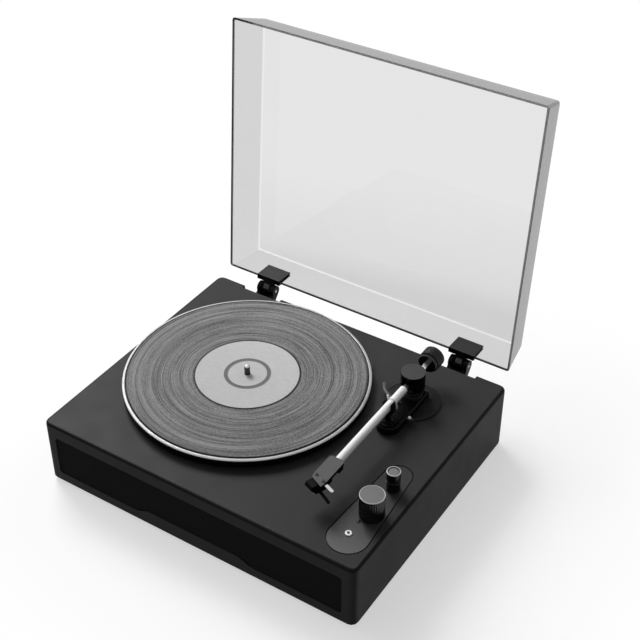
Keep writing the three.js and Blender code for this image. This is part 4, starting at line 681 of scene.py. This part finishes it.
ring_rise, ring_slope, ring_inner, ring_outer = lengths(0.35, 0.5, 24, 30)
paper_top = label_high - ring_rise
label_section = [
    [bore, label_low], [label_radius, label_low], [label_radius, paper_top],
    [ring_outer, paper_top], [ring_outer - ring_slope, label_high],
    [ring_inner + ring_slope, label_high], [ring_inner, paper_top], [bore, paper_top]]
# Foil under the paper's ink gives a light grey that shifts with the grain.
dress(turned("label_disc", label_section, platter_place, 0.1 * mm, closed=True, columns=128),
      "record_label", foiled_paper(centre, label_radius))

spindle_radius, spindle_low, spindle_high = measure("spindle", platter_place)
chamfer, painted_tip_length = lengths(0.4, 2.0)
quarter_turn = np.linspace(0, math.pi / 2, 9)[:-1]
spindle_section = np.vstack([
    [[spindle_radius - chamfer, spindle_low], [spindle_radius, spindle_low + chamfer]],
    ball_profile(spindle_radius, spindle_high - spindle_radius, quarter_turn)])
pin = dress(turned("spindle_pin", spindle_section, platter_place, columns=40), "spindle",
            dark_steel, satin_steel)
# The top of the pin takes bright steel: a painted highlight.
finish_faces(pin, faces_in(pin, platter_place)[1] > spindle_high - painted_tip_length)
print("label", round(label_radius * 2 / mm, 1), "mm across")

# %% [markdown]
# The volume knob is a black moulding with fine flutes, closed by a thick metal cap with a spun
# face. The flutes are a cosine of the angle, taken off the radius, so each one is a soft hollow.
# The shaft below has no flutes.

# %% Volume knob
def fluted(name, profile, place, count, depth, steps, closed=False):
    """A turned body whose radius r becomes r - depth (0.5 + 0.5 cos(count a)) where r is large.

    Each flute has a number of steps of its own, so that all flutes come out alike.
    """
    angle = np.arange(count * steps) / (count * steps) * 2 * math.pi
    r, h = profile.T[..., None]
    r = r - depth * (0.5 + 0.5 * np.cos(count * angle)) * (r > 0.8 * r.max())
    return surface(name, carried(r * np.cos(angle), r * np.sin(angle), h, place), joined=closed)


knob_place = upright("volume_knob_cap")
knob_radius, knob_low, knob_high = measure("volume_knob", knob_place)
shaft, skirt_low = 3 * mm, deck + 0.8 * mm
knob_section = eased([[shaft, knob_low], [shaft, skirt_low], [knob_radius, skirt_low],
                      [knob_radius, knob_high]], 0.4 * mm)
dress(fluted("volume_knob_grip", knob_section, knob_place, 34, 0.5 * mm, 10), "volume_knob",
      polished_abs)

cap_radius, cap_low, cap_high = measure("volume_knob_cap", knob_place)
# A spun face shows fine rings, and its light turns with the eye.
spun_face = lathe_turned("aluminium_spun", "#585858", 0.4, knob_place.translation,
                         0.35 * mm, 0.006 * mm)
# The eye is a tiny flat at the middle, which keeps the rings from meeting in one point.
bevel, border, dish, bright_part, eye = lengths(0.6, 1.0, 0.2, 0.8, 0.3)
cap_section = [[cap_radius - dish, cap_low], [cap_radius, cap_low + dish],
               [cap_radius, cap_high - bevel], [cap_radius - bevel, cap_high],
               [cap_radius - border, cap_high], [cap_radius - border - dish, cap_high - dish],
               [eye, cap_high - dish]]
cap = turned("volume_knob_face", cap_section, knob_place, 0.12 * mm, columns=96)
dress(cap, "volume_knob_cap", spun_face, satin_aluminium, polished_abs)
reach, height = faces_in(cap, knob_place)
finish_faces(cap, np.where(height < cap_high - bright_part, 2, reach > cap_radius - border - dish))
print("volume knob", round(knob_radius * 2 / mm, 1), "mm across")

# %% [markdown]
# The selector is a slim turned sleeve with a split line round its middle and a sunk grey face.
# The jack is a nut round a dark hole, and the lamp a small smoked dome.

# %% Selector, jack and lamp
selector_place = upright("selector_knob")
knob_radius, knob_low, knob_high = measure("selector_knob", selector_place)
waist = (skirt_low + knob_high) / 2
split, half_split, bevel, well, wall, bright_part, eye = lengths(0.4, 0.3, 0.3, 2.4, 1.5, 0.9, 0.3)
selector_section = [
    [shaft, knob_low], [shaft, skirt_low], [knob_radius, skirt_low], [knob_radius, waist - split],
    [knob_radius - split, waist - half_split], [knob_radius - split, waist + half_split],
    [knob_radius, waist + split], [knob_radius, knob_high - bevel],
    [knob_radius - split, knob_high], [knob_radius - wall, knob_high],
    [knob_radius - wall, knob_high - well], [eye, knob_high - well]]
sleeve = turned("selector_sleeve", selector_section, selector_place, 0.15 * mm)
dress(sleeve, "selector_knob", polished_abs, satin_aluminium)
finish_faces(sleeve, faces_in(sleeve, selector_place)[1] > knob_high - bright_part)
face_radius, face_low, face_high = measure("selector_knob_cap", selector_place)
face_section = [[face_radius, face_low], [face_radius, face_high], [0.2 * mm, face_high]]
# The smaller face has finer rings and looks a plain grey.
spun_grey = lathe_turned("aluminium_spun_grey", "#606060", 0.4, selector_place.translation,
                         0.3 * mm, 0.005 * mm)
dress(turned("selector_face", face_section, selector_place, 0.15 * mm), "selector_knob_cap",
      spun_grey)

jack_place = upright("headphone_jack")
nut, jack_low, jack_high = measure("headphone_jack", jack_place)
barrel, nut_foot, hole_floor = nut - 1.5 * mm, deck + 0.3 * mm, jack_low + 1.5 * mm
hole, bevel_drop, bevel, dark_part, eye = lengths(1.9, 0.6, 0.7, 3.0, 0.2)
jack_section = [[barrel, jack_low], [barrel, nut_foot], [nut, nut_foot],
                [nut, jack_high - bevel_drop], [nut - bevel, jack_high], [hole, jack_high],
                [hole, hole_floor], [eye, hole_floor]]
socket = turned("jack_nut", jack_section, jack_place, 0.15 * mm)
dress(socket, "headphone_jack", bright_aluminium_and_rim_highlight, polished_abs)
finish_faces(socket, faces_in(socket, jack_place)[1] < jack_low + dark_part)

lamp_place = upright("power_led")
lamp, lamp_low, lamp_high = measure("power_led", lamp_place)
stand, outer_drop, inner_drop, eye = lengths(0.2, 0.3, 0.05, 0.1)
outer_share, inner_share = 0.8, 0.4
lamp_section = [
    [lamp, lamp_low], [lamp, deck + stand], [lamp * outer_share, lamp_high - outer_drop],
    [lamp * inner_share, lamp_high - inner_drop], [eye, lamp_high]]
dress(turned("lamp_dome", lamp_section, lamp_place, 0.2 * mm, columns=40), "power_led",
      polished_abs)
print("jack nut", round(nut * 2 / mm, 1), "mm across")

# %% [markdown]
# The tonearm stands on a turned round base. Its own axes are tilted a little, because the arm
# droops to its rest, so they are read from the joints: the counterweight slides along the arm,
# and the arm lifts about the cross pins. Turned parts along the arm get a place whose third axis
# points forward from the pivot.

# %% Tonearm axes and base
pivot = Vector(joint["arm_swing"]["pos_m"])
arm_back = Vector(joint["counterweight_slide"]["axis"]).normalized()
arm_right = -Vector(joint["arm_lift"]["axis"]).normalized()
arm_up = arm_right.cross(arm_back)
arm_place = Matrix.Translation(pivot) @ Matrix((arm_right, arm_back, arm_up)).transposed().to_4x4()
along_arm = arm_place @ Matrix.Rotation(math.pi / 2, 4, "X")
pivot_place = Matrix.Translation((pivot.x, pivot.y, 0))

# Turned plastic is black with hardly visible rings and no metal's shine.
turned_abs = lathe_turned("abs_turned", "#2a2a2a", 0.3, pivot, 0.5 * mm, 0.01 * mm, 0.0, **dull)
base, base_low, base_high = measure("tonearm_base", pivot_place)
pillar_bore, sleeve_radius, bevel_drop, bevel, border, slope, dish = lengths(
    6.3, 10, 1.2, 1.6, 3.4, 0.4, 0.3)
base_foot = deck + 0.3 * mm
base_section = [
    [pillar_bore, base_low], [sleeve_radius, base_low], [sleeve_radius, base_foot],
    [base, base_foot], [base, base_high - bevel_drop], [base - bevel, base_high],
    [base - border, base_high], [base - border - slope, base_high - dish],
    [pillar_bore, base_high - dish]]
dress(turned("arm_base_disc", base_section, pivot_place, 0.3 * mm, closed=True, columns=128),
      "tonearm_base", turned_abs)

pillar, pillar_low, pillar_high = measure("arm_pillar", pivot_place)
collar, collar_height, foot_radius, top_radius = deck + 11.8 * mm, *lengths(4, 6, 8)
pillar_section = [
    [foot_radius, pillar_low], [foot_radius, collar], [pillar, collar],
    [pillar, collar + collar_height], [top_radius, collar + collar_height],
    [top_radius, pillar_high]]
dress(turned("arm_pillar_post", pillar_section, pivot_place, 0.4 * mm), "arm_pillar", satin_abs)
print("arm droops", round(math.degrees(math.asin(arm_back.z)), 2), "degrees")

# %% [markdown]
# The arm tube is thin aluminium with white enamel, slimmer at the neck where it enters the
# housing. A thin white grip lies over it near the rest: a strap carried along a path, with a tab
# standing up on the left and a leg down on the right.

# %% Arm tube and grip
def swept(name, path, half_width, half_height, place, tip):
    """An eased rectangle carried along a flat path; at both ends it closes in a curve.

    Over the last length `tip`, at a distance d from the end, its size is sqrt(1 - (1 - d/tip)^2).
    """
    path = np.asarray(path, float)
    corners = np.array([[-1, -1], [1, -1], [1, 1], [-1, 1]]) * [half_width, half_height]
    section = eased(corners, 0.45 * min(half_width, half_height), closed=True)
    gone = np.concatenate([[0], np.cumsum(np.linalg.norm(np.diff(path, axis=0), axis=1))])
    rows = np.concatenate([np.linspace(0, tip, 7)[:-1], np.linspace(tip, gone[-1] - tip, 60),
                           np.linspace(gone[-1] - tip, gone[-1], 7)[1:]])
    line = np.stack([np.interp(rows, gone, path[:, k]) for k in (0, 1)], 1)
    ahead = np.gradient(line, rows, axis=0)
    across = np.stack([-ahead[:, 1], ahead[:, 0]], 1) / np.linalg.norm(ahead, axis=1)[:, None]
    from_end = np.minimum(rows, gone[-1] - rows)
    size = np.sqrt(1 - np.clip(1 - from_end / tip, 0, 0.97) ** 2)[:, None]
    x, y = (line[:, k, None] + across[:, k, None] * size * section[:, 0] for k in (0, 1))
    return surface(name, carried(x, y, size * section[:, 1], place))


tube, tube_low, tube_high = measure("arm_tube", along_arm)
neck, wall, shoulder, outer_step, neck_step, inner_step, white_from = lengths(
    3.2, 0.8, 21, 1.2, 1.6, 2.6, 20.8)
tube_section = [
    [neck - wall, tube_low], [neck, tube_low], [neck, shoulder], [tube, shoulder + outer_step],
    [tube, tube_high], [tube - wall, tube_high], [tube - wall, shoulder + inner_step],
    [neck - wall, shoulder + neck_step]]
arm_tube = turned("arm_tube_enamelled", tube_section, along_arm, 0.25 * mm, closed=True)
dress(arm_tube, "arm_tube", white_enamel, dark_steel)
finish_faces(arm_tube, faces_in(arm_tube, along_arm)[1] < white_from)

grip_at, grip_half, strap_half, strap_tip = lengths(48.8, 1.3, 0.45, 0.6)
stand_off = tube + 0.55 * mm
over = np.radians(np.linspace(170, 10, 17))
tab = np.array([[-1.6, 8.4], [-0.5, 3.6]]) * mm - [stand_off, 0]
leg = np.array([[0.5, -3.6], [0.8, -8.2]]) * mm + [stand_off, 0]
grip_path = np.vstack([tab, ball_profile(stand_off, 0, over), leg])
grip_place = along_arm @ Matrix.Translation((0, 0, grip_at))
dress(swept("arm_grip", grip_path, strap_half, grip_half, grip_place, strap_tip), "arm_tube",
      white_enamel)
print("arm tube", round((tube_high - tube_low) / mm), "mm long")

# %% [markdown]
# Behind the pivot runs a polished shaft. On it slide the counterweight, a coated drum with fine
# turned grooves, and its dial, whose side is fluted like the volume knob's.

# %% Shaft, counterweight and dial
tail, tail_low, tail_high = measure("tail_shaft", along_arm)
tail_bore, chamfer, bevel = tail + 0.3 * mm, *lengths(0.6, 1.2)
tail_section = [[tail - chamfer, tail_low], [tail, tail_low + chamfer], [tail, tail_high]]
dress(turned("tail_rod", tail_section, along_arm, 0.2 * mm), "tail_shaft", polished_aluminium)

drum, drum_low, drum_high = measure("counterweight", along_arm)
first_groove, last_groove, groove_depth = lengths(2.6, 2.0, 0.35)
groove_at = np.linspace(drum_low + first_groove, drum_high - last_groove, 8)
groove_radii = np.tile([drum, drum - groove_depth, drum - groove_depth, drum], len(groove_at))
across_groove = lengths(-0.45, -0.25, 0.25, 0.45)
groove_heights = (groove_at[:, None] + across_groove).ravel()
drum_section = np.vstack([
    [[tail_bore, drum_low], [drum - bevel, drum_low], [drum, drum_low + bevel]],
    np.stack([groove_radii, groove_heights], 1), [[drum, drum_high], [tail_bore, drum_high]]])
dress(turned("counterweight_drum", drum_section, along_arm, 0.1 * mm, closed=True, columns=96),
      "counterweight", powder_coat)

dial, dial_low, dial_high = measure("counterweight_dial", along_arm)
dial_section = eased([[tail_bore, dial_low], [dial, dial_low], [dial, dial_high - bevel],
                      [dial - bevel, dial_high], [tail_bore, dial_high]], 0.3 * mm, closed=True)
dress(fluted("counterweight_ring", dial_section, along_arm, 48, 0.35 * mm, 8, closed=True),
      "counterweight_dial", polished_abs)
print("counterweight", round(drum * 2 / mm, 1), "mm across")

# %% [markdown]
# The headshell carries the cartridge, turned a little towards the record's middle. Two small
# socket screws hold it, and the stylus hangs below on its cantilever.

# %% Screws and stylus
def on_arm(node):
    """The place of a part that stands square to the arm: the middle of its box in the arm's axes."""
    points = points_in(node, arm_place)
    across, along = (points.max(0) + points.min(0))[:2] / 2
    return arm_place @ Matrix.Translation((across, along, 0))


thread, head_height, hex_top, hex_foot, hex_depth, eye = lengths(1.1, 1.3, 0.9, 0.8, 0.8, 0.1)
for side in ("left", "right"):
    node = "headshell_screw_" + side
    screw_place = on_arm(node)
    head, screw_low, screw_high = measure(node, screw_place)
    head_low, hex_floor = screw_high - head_height, screw_high - hex_depth
    screw_section = [[thread, screw_low], [thread, head_low], [head, head_low], [head, screw_high],
                     [hex_top, screw_high], [hex_foot, hex_floor], [eye, hex_floor]]
    dress(turned("headshell_bolt_" + side, screw_section, screw_place, 0.15 * mm, columns=36),
          node, dark_steel)
stylus_place = on_arm("stylus")
holder, tip, stylus_top = measure("stylus", stylus_place)
step = tip + (stylus_top - tip) * 2 / 3
point, needle, needle_rise, stem, step_rise = lengths(0.1, 0.5, 0.7, 1.1, 0.2)
stylus_section = [[point, tip], [needle, tip + needle_rise], [stem, step],
                  [holder, step + step_rise], [holder, stylus_top]]
dress(turned("stylus_tip", stylus_section, stylus_place, 0.15 * mm, columns=36), "stylus",
      satin_steel)
print("stylus tip", round((stylus_top - tip) / mm, 1), "mm below the cartridge")

# %% [markdown]
# The cueing bar is a curved metal rail with round edges, bent about the arm's pivot. Its section
# is carried along an arc, and it shrinks at both ends so that they close like a fingertip.

# %% Cueing bar
bar_low, bar_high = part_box("cue_lift_bar")
bar_thickness, bar_width, bar_radius, post, foot_radius, bevel = lengths(2.5, 3.6, 34.8, 2, 1.7, 0.3)


def on_rail(turn):
    """A point of the rail at an angle t: (X - R sin t, Y - R cos t) about the pivot (X, Y)."""
    return pivot.x - bar_radius * np.sin(turn), pivot.y - bar_radius * np.cos(turn)


rail_from, rail_to, post_at = np.radians((-6, 68, 31))
bar_middle = bar_high.z - bar_thickness / 2
arc = np.stack(on_rail(np.linspace(rail_from, rail_to, 73)), 1)
dress(swept("cueing_rail", arc, bar_width / 2, bar_thickness / 2,
            Matrix.Translation((0, 0, bar_middle)), bar_width / 2), "cue_lift_bar", dark_steel)
post_place = Matrix.Translation((*on_rail(post_at), 0))
post_section = [[foot_radius, bar_low.z], [post, bar_low.z + bevel], [post, bar_middle]]
dress(turned("cueing_post", post_section, post_place, 0.1 * mm, columns=36), "cue_lift_bar",
      dark_steel)
print("rail", round((rail_to - rail_from) * bar_radius / mm), "mm long")

# %% [markdown]
# The cueing lever turns on an axle in the board's side. It is a black hub with a slim arm that
# ends in a small bright ball for the fingertip.

# %% Cueing lever
axle_at = Vector(joint["cue_lever_turn"]["pos_m"])
along_axle = Matrix.Translation(axle_at) @ Matrix.Rotation(math.pi / 2, 4, "Y")
lever_reach = points_in("cue_lever", along_axle)[:, 2]
axle, hub_radius, half_hub, dome, eye, stalk_foot, stalk_end, ball, overlap = lengths(
    2.4, 3.7, 1.3, 1.5, 0.5, 1.5, 1.2, 2.3, 2)
lever_low, hub_middle = lever_reach.min(), lever_reach.max() - dome
lever_section = [[axle, lever_low], [axle, hub_middle - half_hub], [hub_radius, hub_middle - half_hub],
                 [hub_radius, hub_middle + half_hub], [eye, hub_middle + dome]]
dress(turned("cueing_hub", lever_section, along_axle, 0.3 * mm), "cue_lever", satin_abs)
to_ball = Vector((0, -8.4, 12)) * mm
lever_place = (Matrix.Translation(axle_at + Vector((hub_middle, 0, 0)))
               @ to_ball.to_track_quat("Z", "Y").to_matrix().to_4x4())
stalk = [[stalk_foot, 0], [stalk_end, to_ball.length - overlap]]
dress(turned("cueing_stalk", stalk, lever_place, columns=36), "cue_lever", satin_abs)
half_turn = np.linspace(-math.pi / 2, math.pi / 2, 17)[1:-1]
globe = ball_profile(ball, to_ball.length, half_turn)
dress(turned("cueing_ball", globe, lever_place, columns=36), "cue_lever", satin_aluminium)
print("lever", round(to_ball.length / mm, 1), "mm long")

# %% [markdown]
# Under the cabinet sit four cup-shaped rubber feet. Each hinge has a steel pin, and a thin grey
# pad on the leaning front of its clip is a painted highlight where the clip's facet catches light.

# %% Feet, hinge pins and pads
inner_share, tread_share, eye = 0.55, 0.86, 0.5 * mm
for node in ("foot_front_left", "foot_front_right", "foot_rear_left", "foot_rear_right"):
    foot_place = upright(node)
    foot, foot_low, foot_high = measure(node, foot_place)
    cup = foot_low + foot_high / 4
    foot_section = [[eye, cup], [foot * inner_share, cup], [foot * inner_share, foot_low],
                    [foot * tread_share, foot_low], [foot, cup], [foot, foot_high]]
    dress(turned("rubber_" + node, foot_section, foot_place, 0.4 * mm), node, moulded_rubber)

along_x, along_y = Matrix.Rotation(math.pi / 2, 4, "Y"), Matrix.Rotation(-math.pi / 2, 4, "X")


def middle(node):
    """The place of a part at the middle of its box, unturned."""
    low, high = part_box(node)
    return Matrix.Translation((low + high) / 2)


pad_face, clip_side = Vector((0, -0.9, 0.44)).normalized(), Vector((1, 0, 0))
pad_axes = Matrix((clip_side, pad_face.cross(clip_side), pad_face)).transposed().to_4x4()
pad_half_length, pad_half_width, pad_half_height, pad_tip, pad_lift, chamfer = lengths(
    4.2, 3.2, 0.35, 0.4, 0.15, 0.4)
pad_y, pad_z = lengths(139.4, 99.2)
for side in ("left", "right"):
    clip, node = "hinge_clip_" + side, "hinge_pin_" + side
    pad_middle = Vector((middle(clip).translation.x, pad_y, pad_z)) + pad_face * pad_lift
    pad_place = Matrix.Translation(pad_middle) @ pad_axes
    # The grey pad is a painted highlight on the clip's facet.
    dress(swept("hinge_highlight_pad_" + side, [[-pad_half_length, 0], [pad_half_length, 0]],
                pad_half_width, pad_half_height, pad_place, pad_tip), clip, grey_painted_light)
    pin_place = middle(node) @ along_x
    pin, pin_low, pin_high = measure(node, pin_place)
    pin_section = [[pin - chamfer, pin_low], [pin, pin_low + chamfer],
                   [pin, pin_high - chamfer], [pin - chamfer, pin_high]]
    dress(turned("hinge_rod_" + side, pin_section, pin_place, 0.15 * mm), node, satin_steel)
print("feet and hinges done")

# %% [markdown]
# The back panel carries two phono sockets with their nuts and the power inlet. A small screw
# in each of its corners holds it.

# %% Back panel's sockets and screws
barrel, panel_step, shell_length, nut_from, nut_to, pin_eye = lengths(4.2, 8, 8, 0.3, 2.3, 0.2)
for side in ("left", "right"):
    node = "phono_socket_" + side
    socket_place = middle(node) @ along_y
    nut, socket_low, socket_high = measure(node, socket_place)
    face, well = socket_high - shell_length, barrel / 2
    socket_section = [
        [barrel, socket_low], [barrel, face + nut_from], [nut, face + nut_from],
        [nut, face + nut_to], [barrel, face + nut_to], [barrel, socket_high], [well, socket_high],
        [well, face - panel_step], [pin_eye, face - panel_step]]
    dress(turned("phono_shell_" + side, socket_section, socket_place, 0.2 * mm), node,
          polished_chrome)
panel_low, panel_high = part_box("back_panel")
margin, sunk = lengths(5, 0.2)
screw_section = np.array([[2.4, 0], [2.4, 0.8], [1.5, 1.7], [0.9, 1.7], [0.7, 0.9], [0.1, 0.9]]) * mm
for number in range(4):
    across = panel_low.x + margin if number % 2 else panel_high.x - margin
    up = panel_low.z + margin if number < 2 else panel_high.z - margin
    screw_place = Matrix.Translation((across, panel_high.y - sunk, up)) @ along_y
    dress(turned(f"rear_screw_{number}", screw_section, screw_place, 0.2 * mm, columns=32),
          "back_panel", satin_steel)
inlet_place = middle("power_inlet") @ along_y
inlet, inlet_low, inlet_high = measure("power_inlet", inlet_place)
hole, hole_floor = 2.8 * mm, inlet_low + 2 * mm
inlet_section = [[inlet, inlet_low], [inlet, inlet_high], [hole, inlet_high], [hole, hole_floor],
                 [pin_eye, hole_floor]]
dress(turned("inlet_shell", inlet_section, inlet_place, 0.3 * mm), "power_inlet", polished_abs)
print("back panel", round((panel_high.x - panel_low.x) / mm), "mm wide")

# %% [markdown]
# The dust cover is one moulding of clear acrylic, a shallow tray with walls that lean inwards.
# It is drawn in the closed place, in the axes of its hinge, as one run of rounded rectangles:
# from the ceiling inside, down the inner walls, across the rim and up the outer walls.

# %% Shape of the dust cover
cover_hinge = joint["cover_hinge"]
cover_place = (Matrix.Translation(Vector(cover_hinge["pos_m"]))
               @ Matrix.Rotation(math.radians(cover_hinge["range_deg"][0]), 4, "X"))
tray = points_in("dust_cover", cover_place)
(tray_left, tray_front, rim), (tray_right, tray_back, tray_top) = tray.min(0), tray.max(0)
side_lean, front_lean, rear_lean = lengths(8.8, 14.5, 2.8)


def tray_rings(rows, steps=8):
    """Rounded rectangles: each row gives inset, share of the lean, corner radius and height."""
    inset, share, radius, height = np.asarray(rows, float).T[:, :, None]
    quarter, turn = np.divmod(np.arange(4 * (steps + 1)), steps + 1)
    angle = (quarter + turn / steps) * math.pi / 2
    right = tray_right - side_lean * share - inset
    back, front = tray_back - rear_lean * share - inset, tray_front + front_lean * share + inset
    east, north = np.isin(quarter, (0, 3)), np.isin(quarter, (0, 1))
    x = np.where(east, right - radius, radius - right) + radius * np.cos(angle)
    y = np.where(north, back - radius, front + radius) + radius * np.sin(angle)
    return carried(x, y, height, cover_place)


tray_wall, fillet, crown, nick, corner, inner_corner, band = lengths(
    2.8, 2.0, 2.4, 0.35, 4, 1.2, 1.4)
bend, ceiling, rim_lean = np.radians([90, 60, 30, 0]), tray_top - tray_wall, 0.03
inside = [(tray_wall + fillet * (1 - np.cos(a)), 1, inner_corner + fillet * (1 - np.cos(a)),
           ceiling - fillet * (1 - np.sin(a))) for a in bend]
lip = [(tray_wall, rim_lean, inner_corner, rim + band), (tray_wall, 0, inner_corner, rim + nick),
       (tray_wall - nick, 0, inner_corner + nick, rim), (nick, 0, corner - nick, rim),
       (0, 0, corner, rim + nick), (0, rim_lean, corner, rim + band)]
outside = [(crown * (1 - np.cos(a)), 1, corner, tray_top - crown * (1 - np.sin(a)))
           for a in bend[::-1]]
tray_rows = tray_rings(inside + lip + outside)
cover = surface("dust_cover_tray", tray_rows)
print("cover", round((tray_right - tray_left) / mm, 1), "mm wide")

# %% [markdown]
# Clear acrylic takes a little of the light that passes, and smudges make its gloss uneven. The
# large panel's tint is painted shade by place, darker near the hinge and to one side. The walls
# are painted darker the flatter the eye meets them, as painted shade. The rim is sawn, so it
# scatters the light, and it is painted dark, a little lighter towards the top; the fillet inside
# stays untinted and glossier, which gives a thin painted highlight line.

# %% Clear acrylic
def clear_acrylic(name, roughness, smudge, gloss, stops, reading=None):
    """Clear plastic with smudges. The tint's stops follow the place's dot product with a reading.

    Without a reading they follow how flat the view is, and a single stop is one plain colour.
    """
    material, tree, shader, place = start_material(name, stops[0][1], roughness, **{
        "Transmission Weight": 1.0, "IOR": 1.49, "Specular IOR Level": gloss,
        "Specular Tint": linear("#808080")})
    # Fourteen smudges in a metre: each is about 70 mm wide.
    film = add_node(tree, "TexNoise", {"Vector": place, "Scale": 14.0, "Detail": 3.0})
    sheen = add_node(tree, "MapRange", {"Value": film.outputs[0], "From Min": 0.4, "From Max": 0.8,
                                        "To Min": roughness, "To Max": roughness + smudge})
    if reading:
        along = add_node(tree, "VectorMath", {0: place, 1: reading}, operation="DOT_PRODUCT")
        tint = color_ramp(tree, along.outputs["Value"], stops)
        tree.links.new(tint, shader.inputs["Base Color"])
    elif len(stops) > 1:
        facing = add_node(tree, "LayerWeight", {"Blend": 0.5}).outputs["Facing"]
        tree.links.new(color_ramp(tree, facing, stops), shader.inputs["Base Color"])
    # The cover lets most of the lamps' light through, so its shadow is only a faint one.
    shadow = add_node(tree, "LightPath").outputs["Is Shadow Ray"]
    clear = add_node(tree, "Math", {0: shadow, 1: -0.93, 2: 1.0}, operation="MULTIPLY_ADD")
    tree.links.new(sheen.outputs[0], shader.inputs["Roughness"])
    tree.links.new(clear.outputs[0], shader.inputs["Alpha"])
    return material


# A reading of the place goes from 0 at the floor to 1 at the open cover's top, and the panel's
# reading leans, so that its painted shade deepens to one side too.
cover_height = 0.46
upwards, leaning = (0, 0, 1 / cover_height), (-0.3, 0, 1 / cover_height)
polished, sawn, walls, inner_fillet = range(4)
dress(cover, "dust_cover",
      clear_acrylic("acrylic_polished_painted_shade", 0.02, 0.02, 0.0,
                    [(0.26, "#d1d1d1"), (0.34, "#dddddd"), (0.6, "#e6e6e6"), (0.8, "#e5e5e5")],
                    leaning),
      clear_acrylic("acrylic_sawn_painted_dark", 0.3, 0.1, 0.1, [(0.2, "#3c3c3c"), (1.0, "#505050")], upwards),
      clear_acrylic("acrylic_walls_painted_shade", 0.04, 0.04, 0.02, [(0.42, "#d4d4d4"), (0.75, "#242424")]),
      clear_acrylic("acrylic_fillet_painted_highlight", 0.1, 0.04, 0.5, [(0.0, "#ffffff")]))
# Rows of faces run from the ceiling inside, down and across the rim, up to the crown outside.
finish_of_row = [inner_fillet] * 3 + [walls] + [sawn] * 5 + [walls] * 4
finish_of = np.full(len(cover.data.polygons), polished)
finish_of[:len(finish_of_row) * tray_rows.shape[1]] = np.repeat(finish_of_row, tray_rows.shape[1])
finish_faces(cover, finish_of)
print("acrylic finishes:", len(cover.data.materials))

# %% [markdown]
# The record player stands on white studio paper that runs out of sight. Near the cabinet the
# paper keeps its shadow, and away from it the shadow fades into plain white, as it does when a
# photograph is printed. The paper glows only to the camera, to mirrors and to clear plastic, so
# the glow sends no light on to the object.

# %% Floor and world
def seen_directly(tree):
    """1 for rays from the camera, a mirror or clear plastic, and 0 for the light on the object."""
    rays = add_node(tree, "LightPath").outputs
    seen = rays["Is Camera Ray"]
    for kind in ("Is Glossy Ray", "Is Transmission Ray"):
        seen = add_node(tree, "Math", {0: seen, 1: rays[kind]}, operation="MAXIMUM").outputs[0]
    return seen


half_floor, paper_glow, fade, cabinet_half = 4.0, 0.54, 0.3, (0.222, 0.182, 0)
floor_mesh = bpy.data.meshes.new("floor")
floor_corners = [(x * half_floor, y * half_floor, 0) for x, y in ((-1, -1), (1, -1), (1, 1), (-1, 1))]
floor_mesh.from_pydata(floor_corners, [], [(0, 1, 2, 3)])
floor = add_object("floor", floor_mesh)
# Matt paper scatters the light evenly and shows no gloss at all.
paper_floor = bpy.data.materials.new("studio_paper_white")
paper_floor.use_nodes = True
tree = paper_floor.node_tree
tree.nodes.clear()
seen = seen_directly(tree)
matt = add_node(tree, "BsdfDiffuse", {"Color": linear("#b5b5b5")})
glow_strength = add_node(tree, "Math", {0: seen, 1: paper_glow}, operation="MULTIPLY")
glow = add_node(tree, "Emission", {"Strength": glow_strength.outputs[0]})
near_paper = add_node(tree, "AddShader", {0: matt.outputs[0], 1: glow.outputs[0]})
far_paper = add_node(tree, "Emission", {"Strength": seen})
# The distance beyond the cabinet's foot: |x| and |y| less its half sizes, and never below zero.
beyond = add_node(tree, "VectorMath", {0: add_node(tree, "TexCoord").outputs["Object"]},
                  operation="ABSOLUTE")
for amount, operation in ((cabinet_half, "SUBTRACT"), ((0, 0, 0), "MAXIMUM")):
    beyond = add_node(tree, "VectorMath", {0: beyond.outputs[0], 1: amount}, operation=operation)
away = add_node(tree, "VectorMath", {0: beyond.outputs[0]}, operation="LENGTH")
share = add_node(tree, "MapRange", {"Value": away.outputs["Value"], "From Min": 0.0,
                                    "From Max": fade}, interpolation_type="SMOOTHSTEP")
paper = add_node(tree, "MixShader", {
    0: share.outputs[0], 1: near_paper.outputs[0], 2: far_paper.outputs[0]})
add_node(tree, "OutputMaterial", {"Surface": paper.outputs[0]})
floor_mesh.materials.append(paper_floor)

world = bpy.data.worlds.new("white_studio")
bpy.context.scene.world = world
world.use_nodes = True
tree = world.node_tree
tree.nodes.clear()
level = add_node(tree, "MapRange", {"Value": seen_directly(tree), "To Min": 0.21, "To Max": 1.0})
sky = add_node(tree, "Background", {"Color": linear("#ffffff"), "Strength": level.outputs[0]})
add_node(tree, "OutputWorld", {"Surface": sky.outputs[0]})
print("floor", 2 * half_floor, "m wide")

# %% [markdown]
# Soft light comes from wide lamps: a large one high behind at the left, whose sheen lies on the
# deck and whose shadows fall forward, and a small weak one at the left.

# %% Lamps
lamp_aim = Vector((0, 0, 0.1))


def soft_lamp(name, place, size, power):
    """A square lamp at a place, turned to look at the record player."""
    lamp = add_object(name, bpy.data.lights.new(name, "AREA"))
    lamp.data.size, lamp.data.energy = size, power
    lamp.location = place
    lamp.rotation_euler = (lamp_aim - Vector(place)).to_track_quat("-Z", "Y").to_euler()
    return lamp


lamps = [soft_lamp("rear_lamp", (-2.0, 1.06, 2.36), 1.3, 84),
         soft_lamp("left_lamp", (-1.5, -0.1, 1.0), 0.9, 8)]
bpy.context.scene.view_settings.view_transform = "Standard"
print("lamps:", len(lamps))
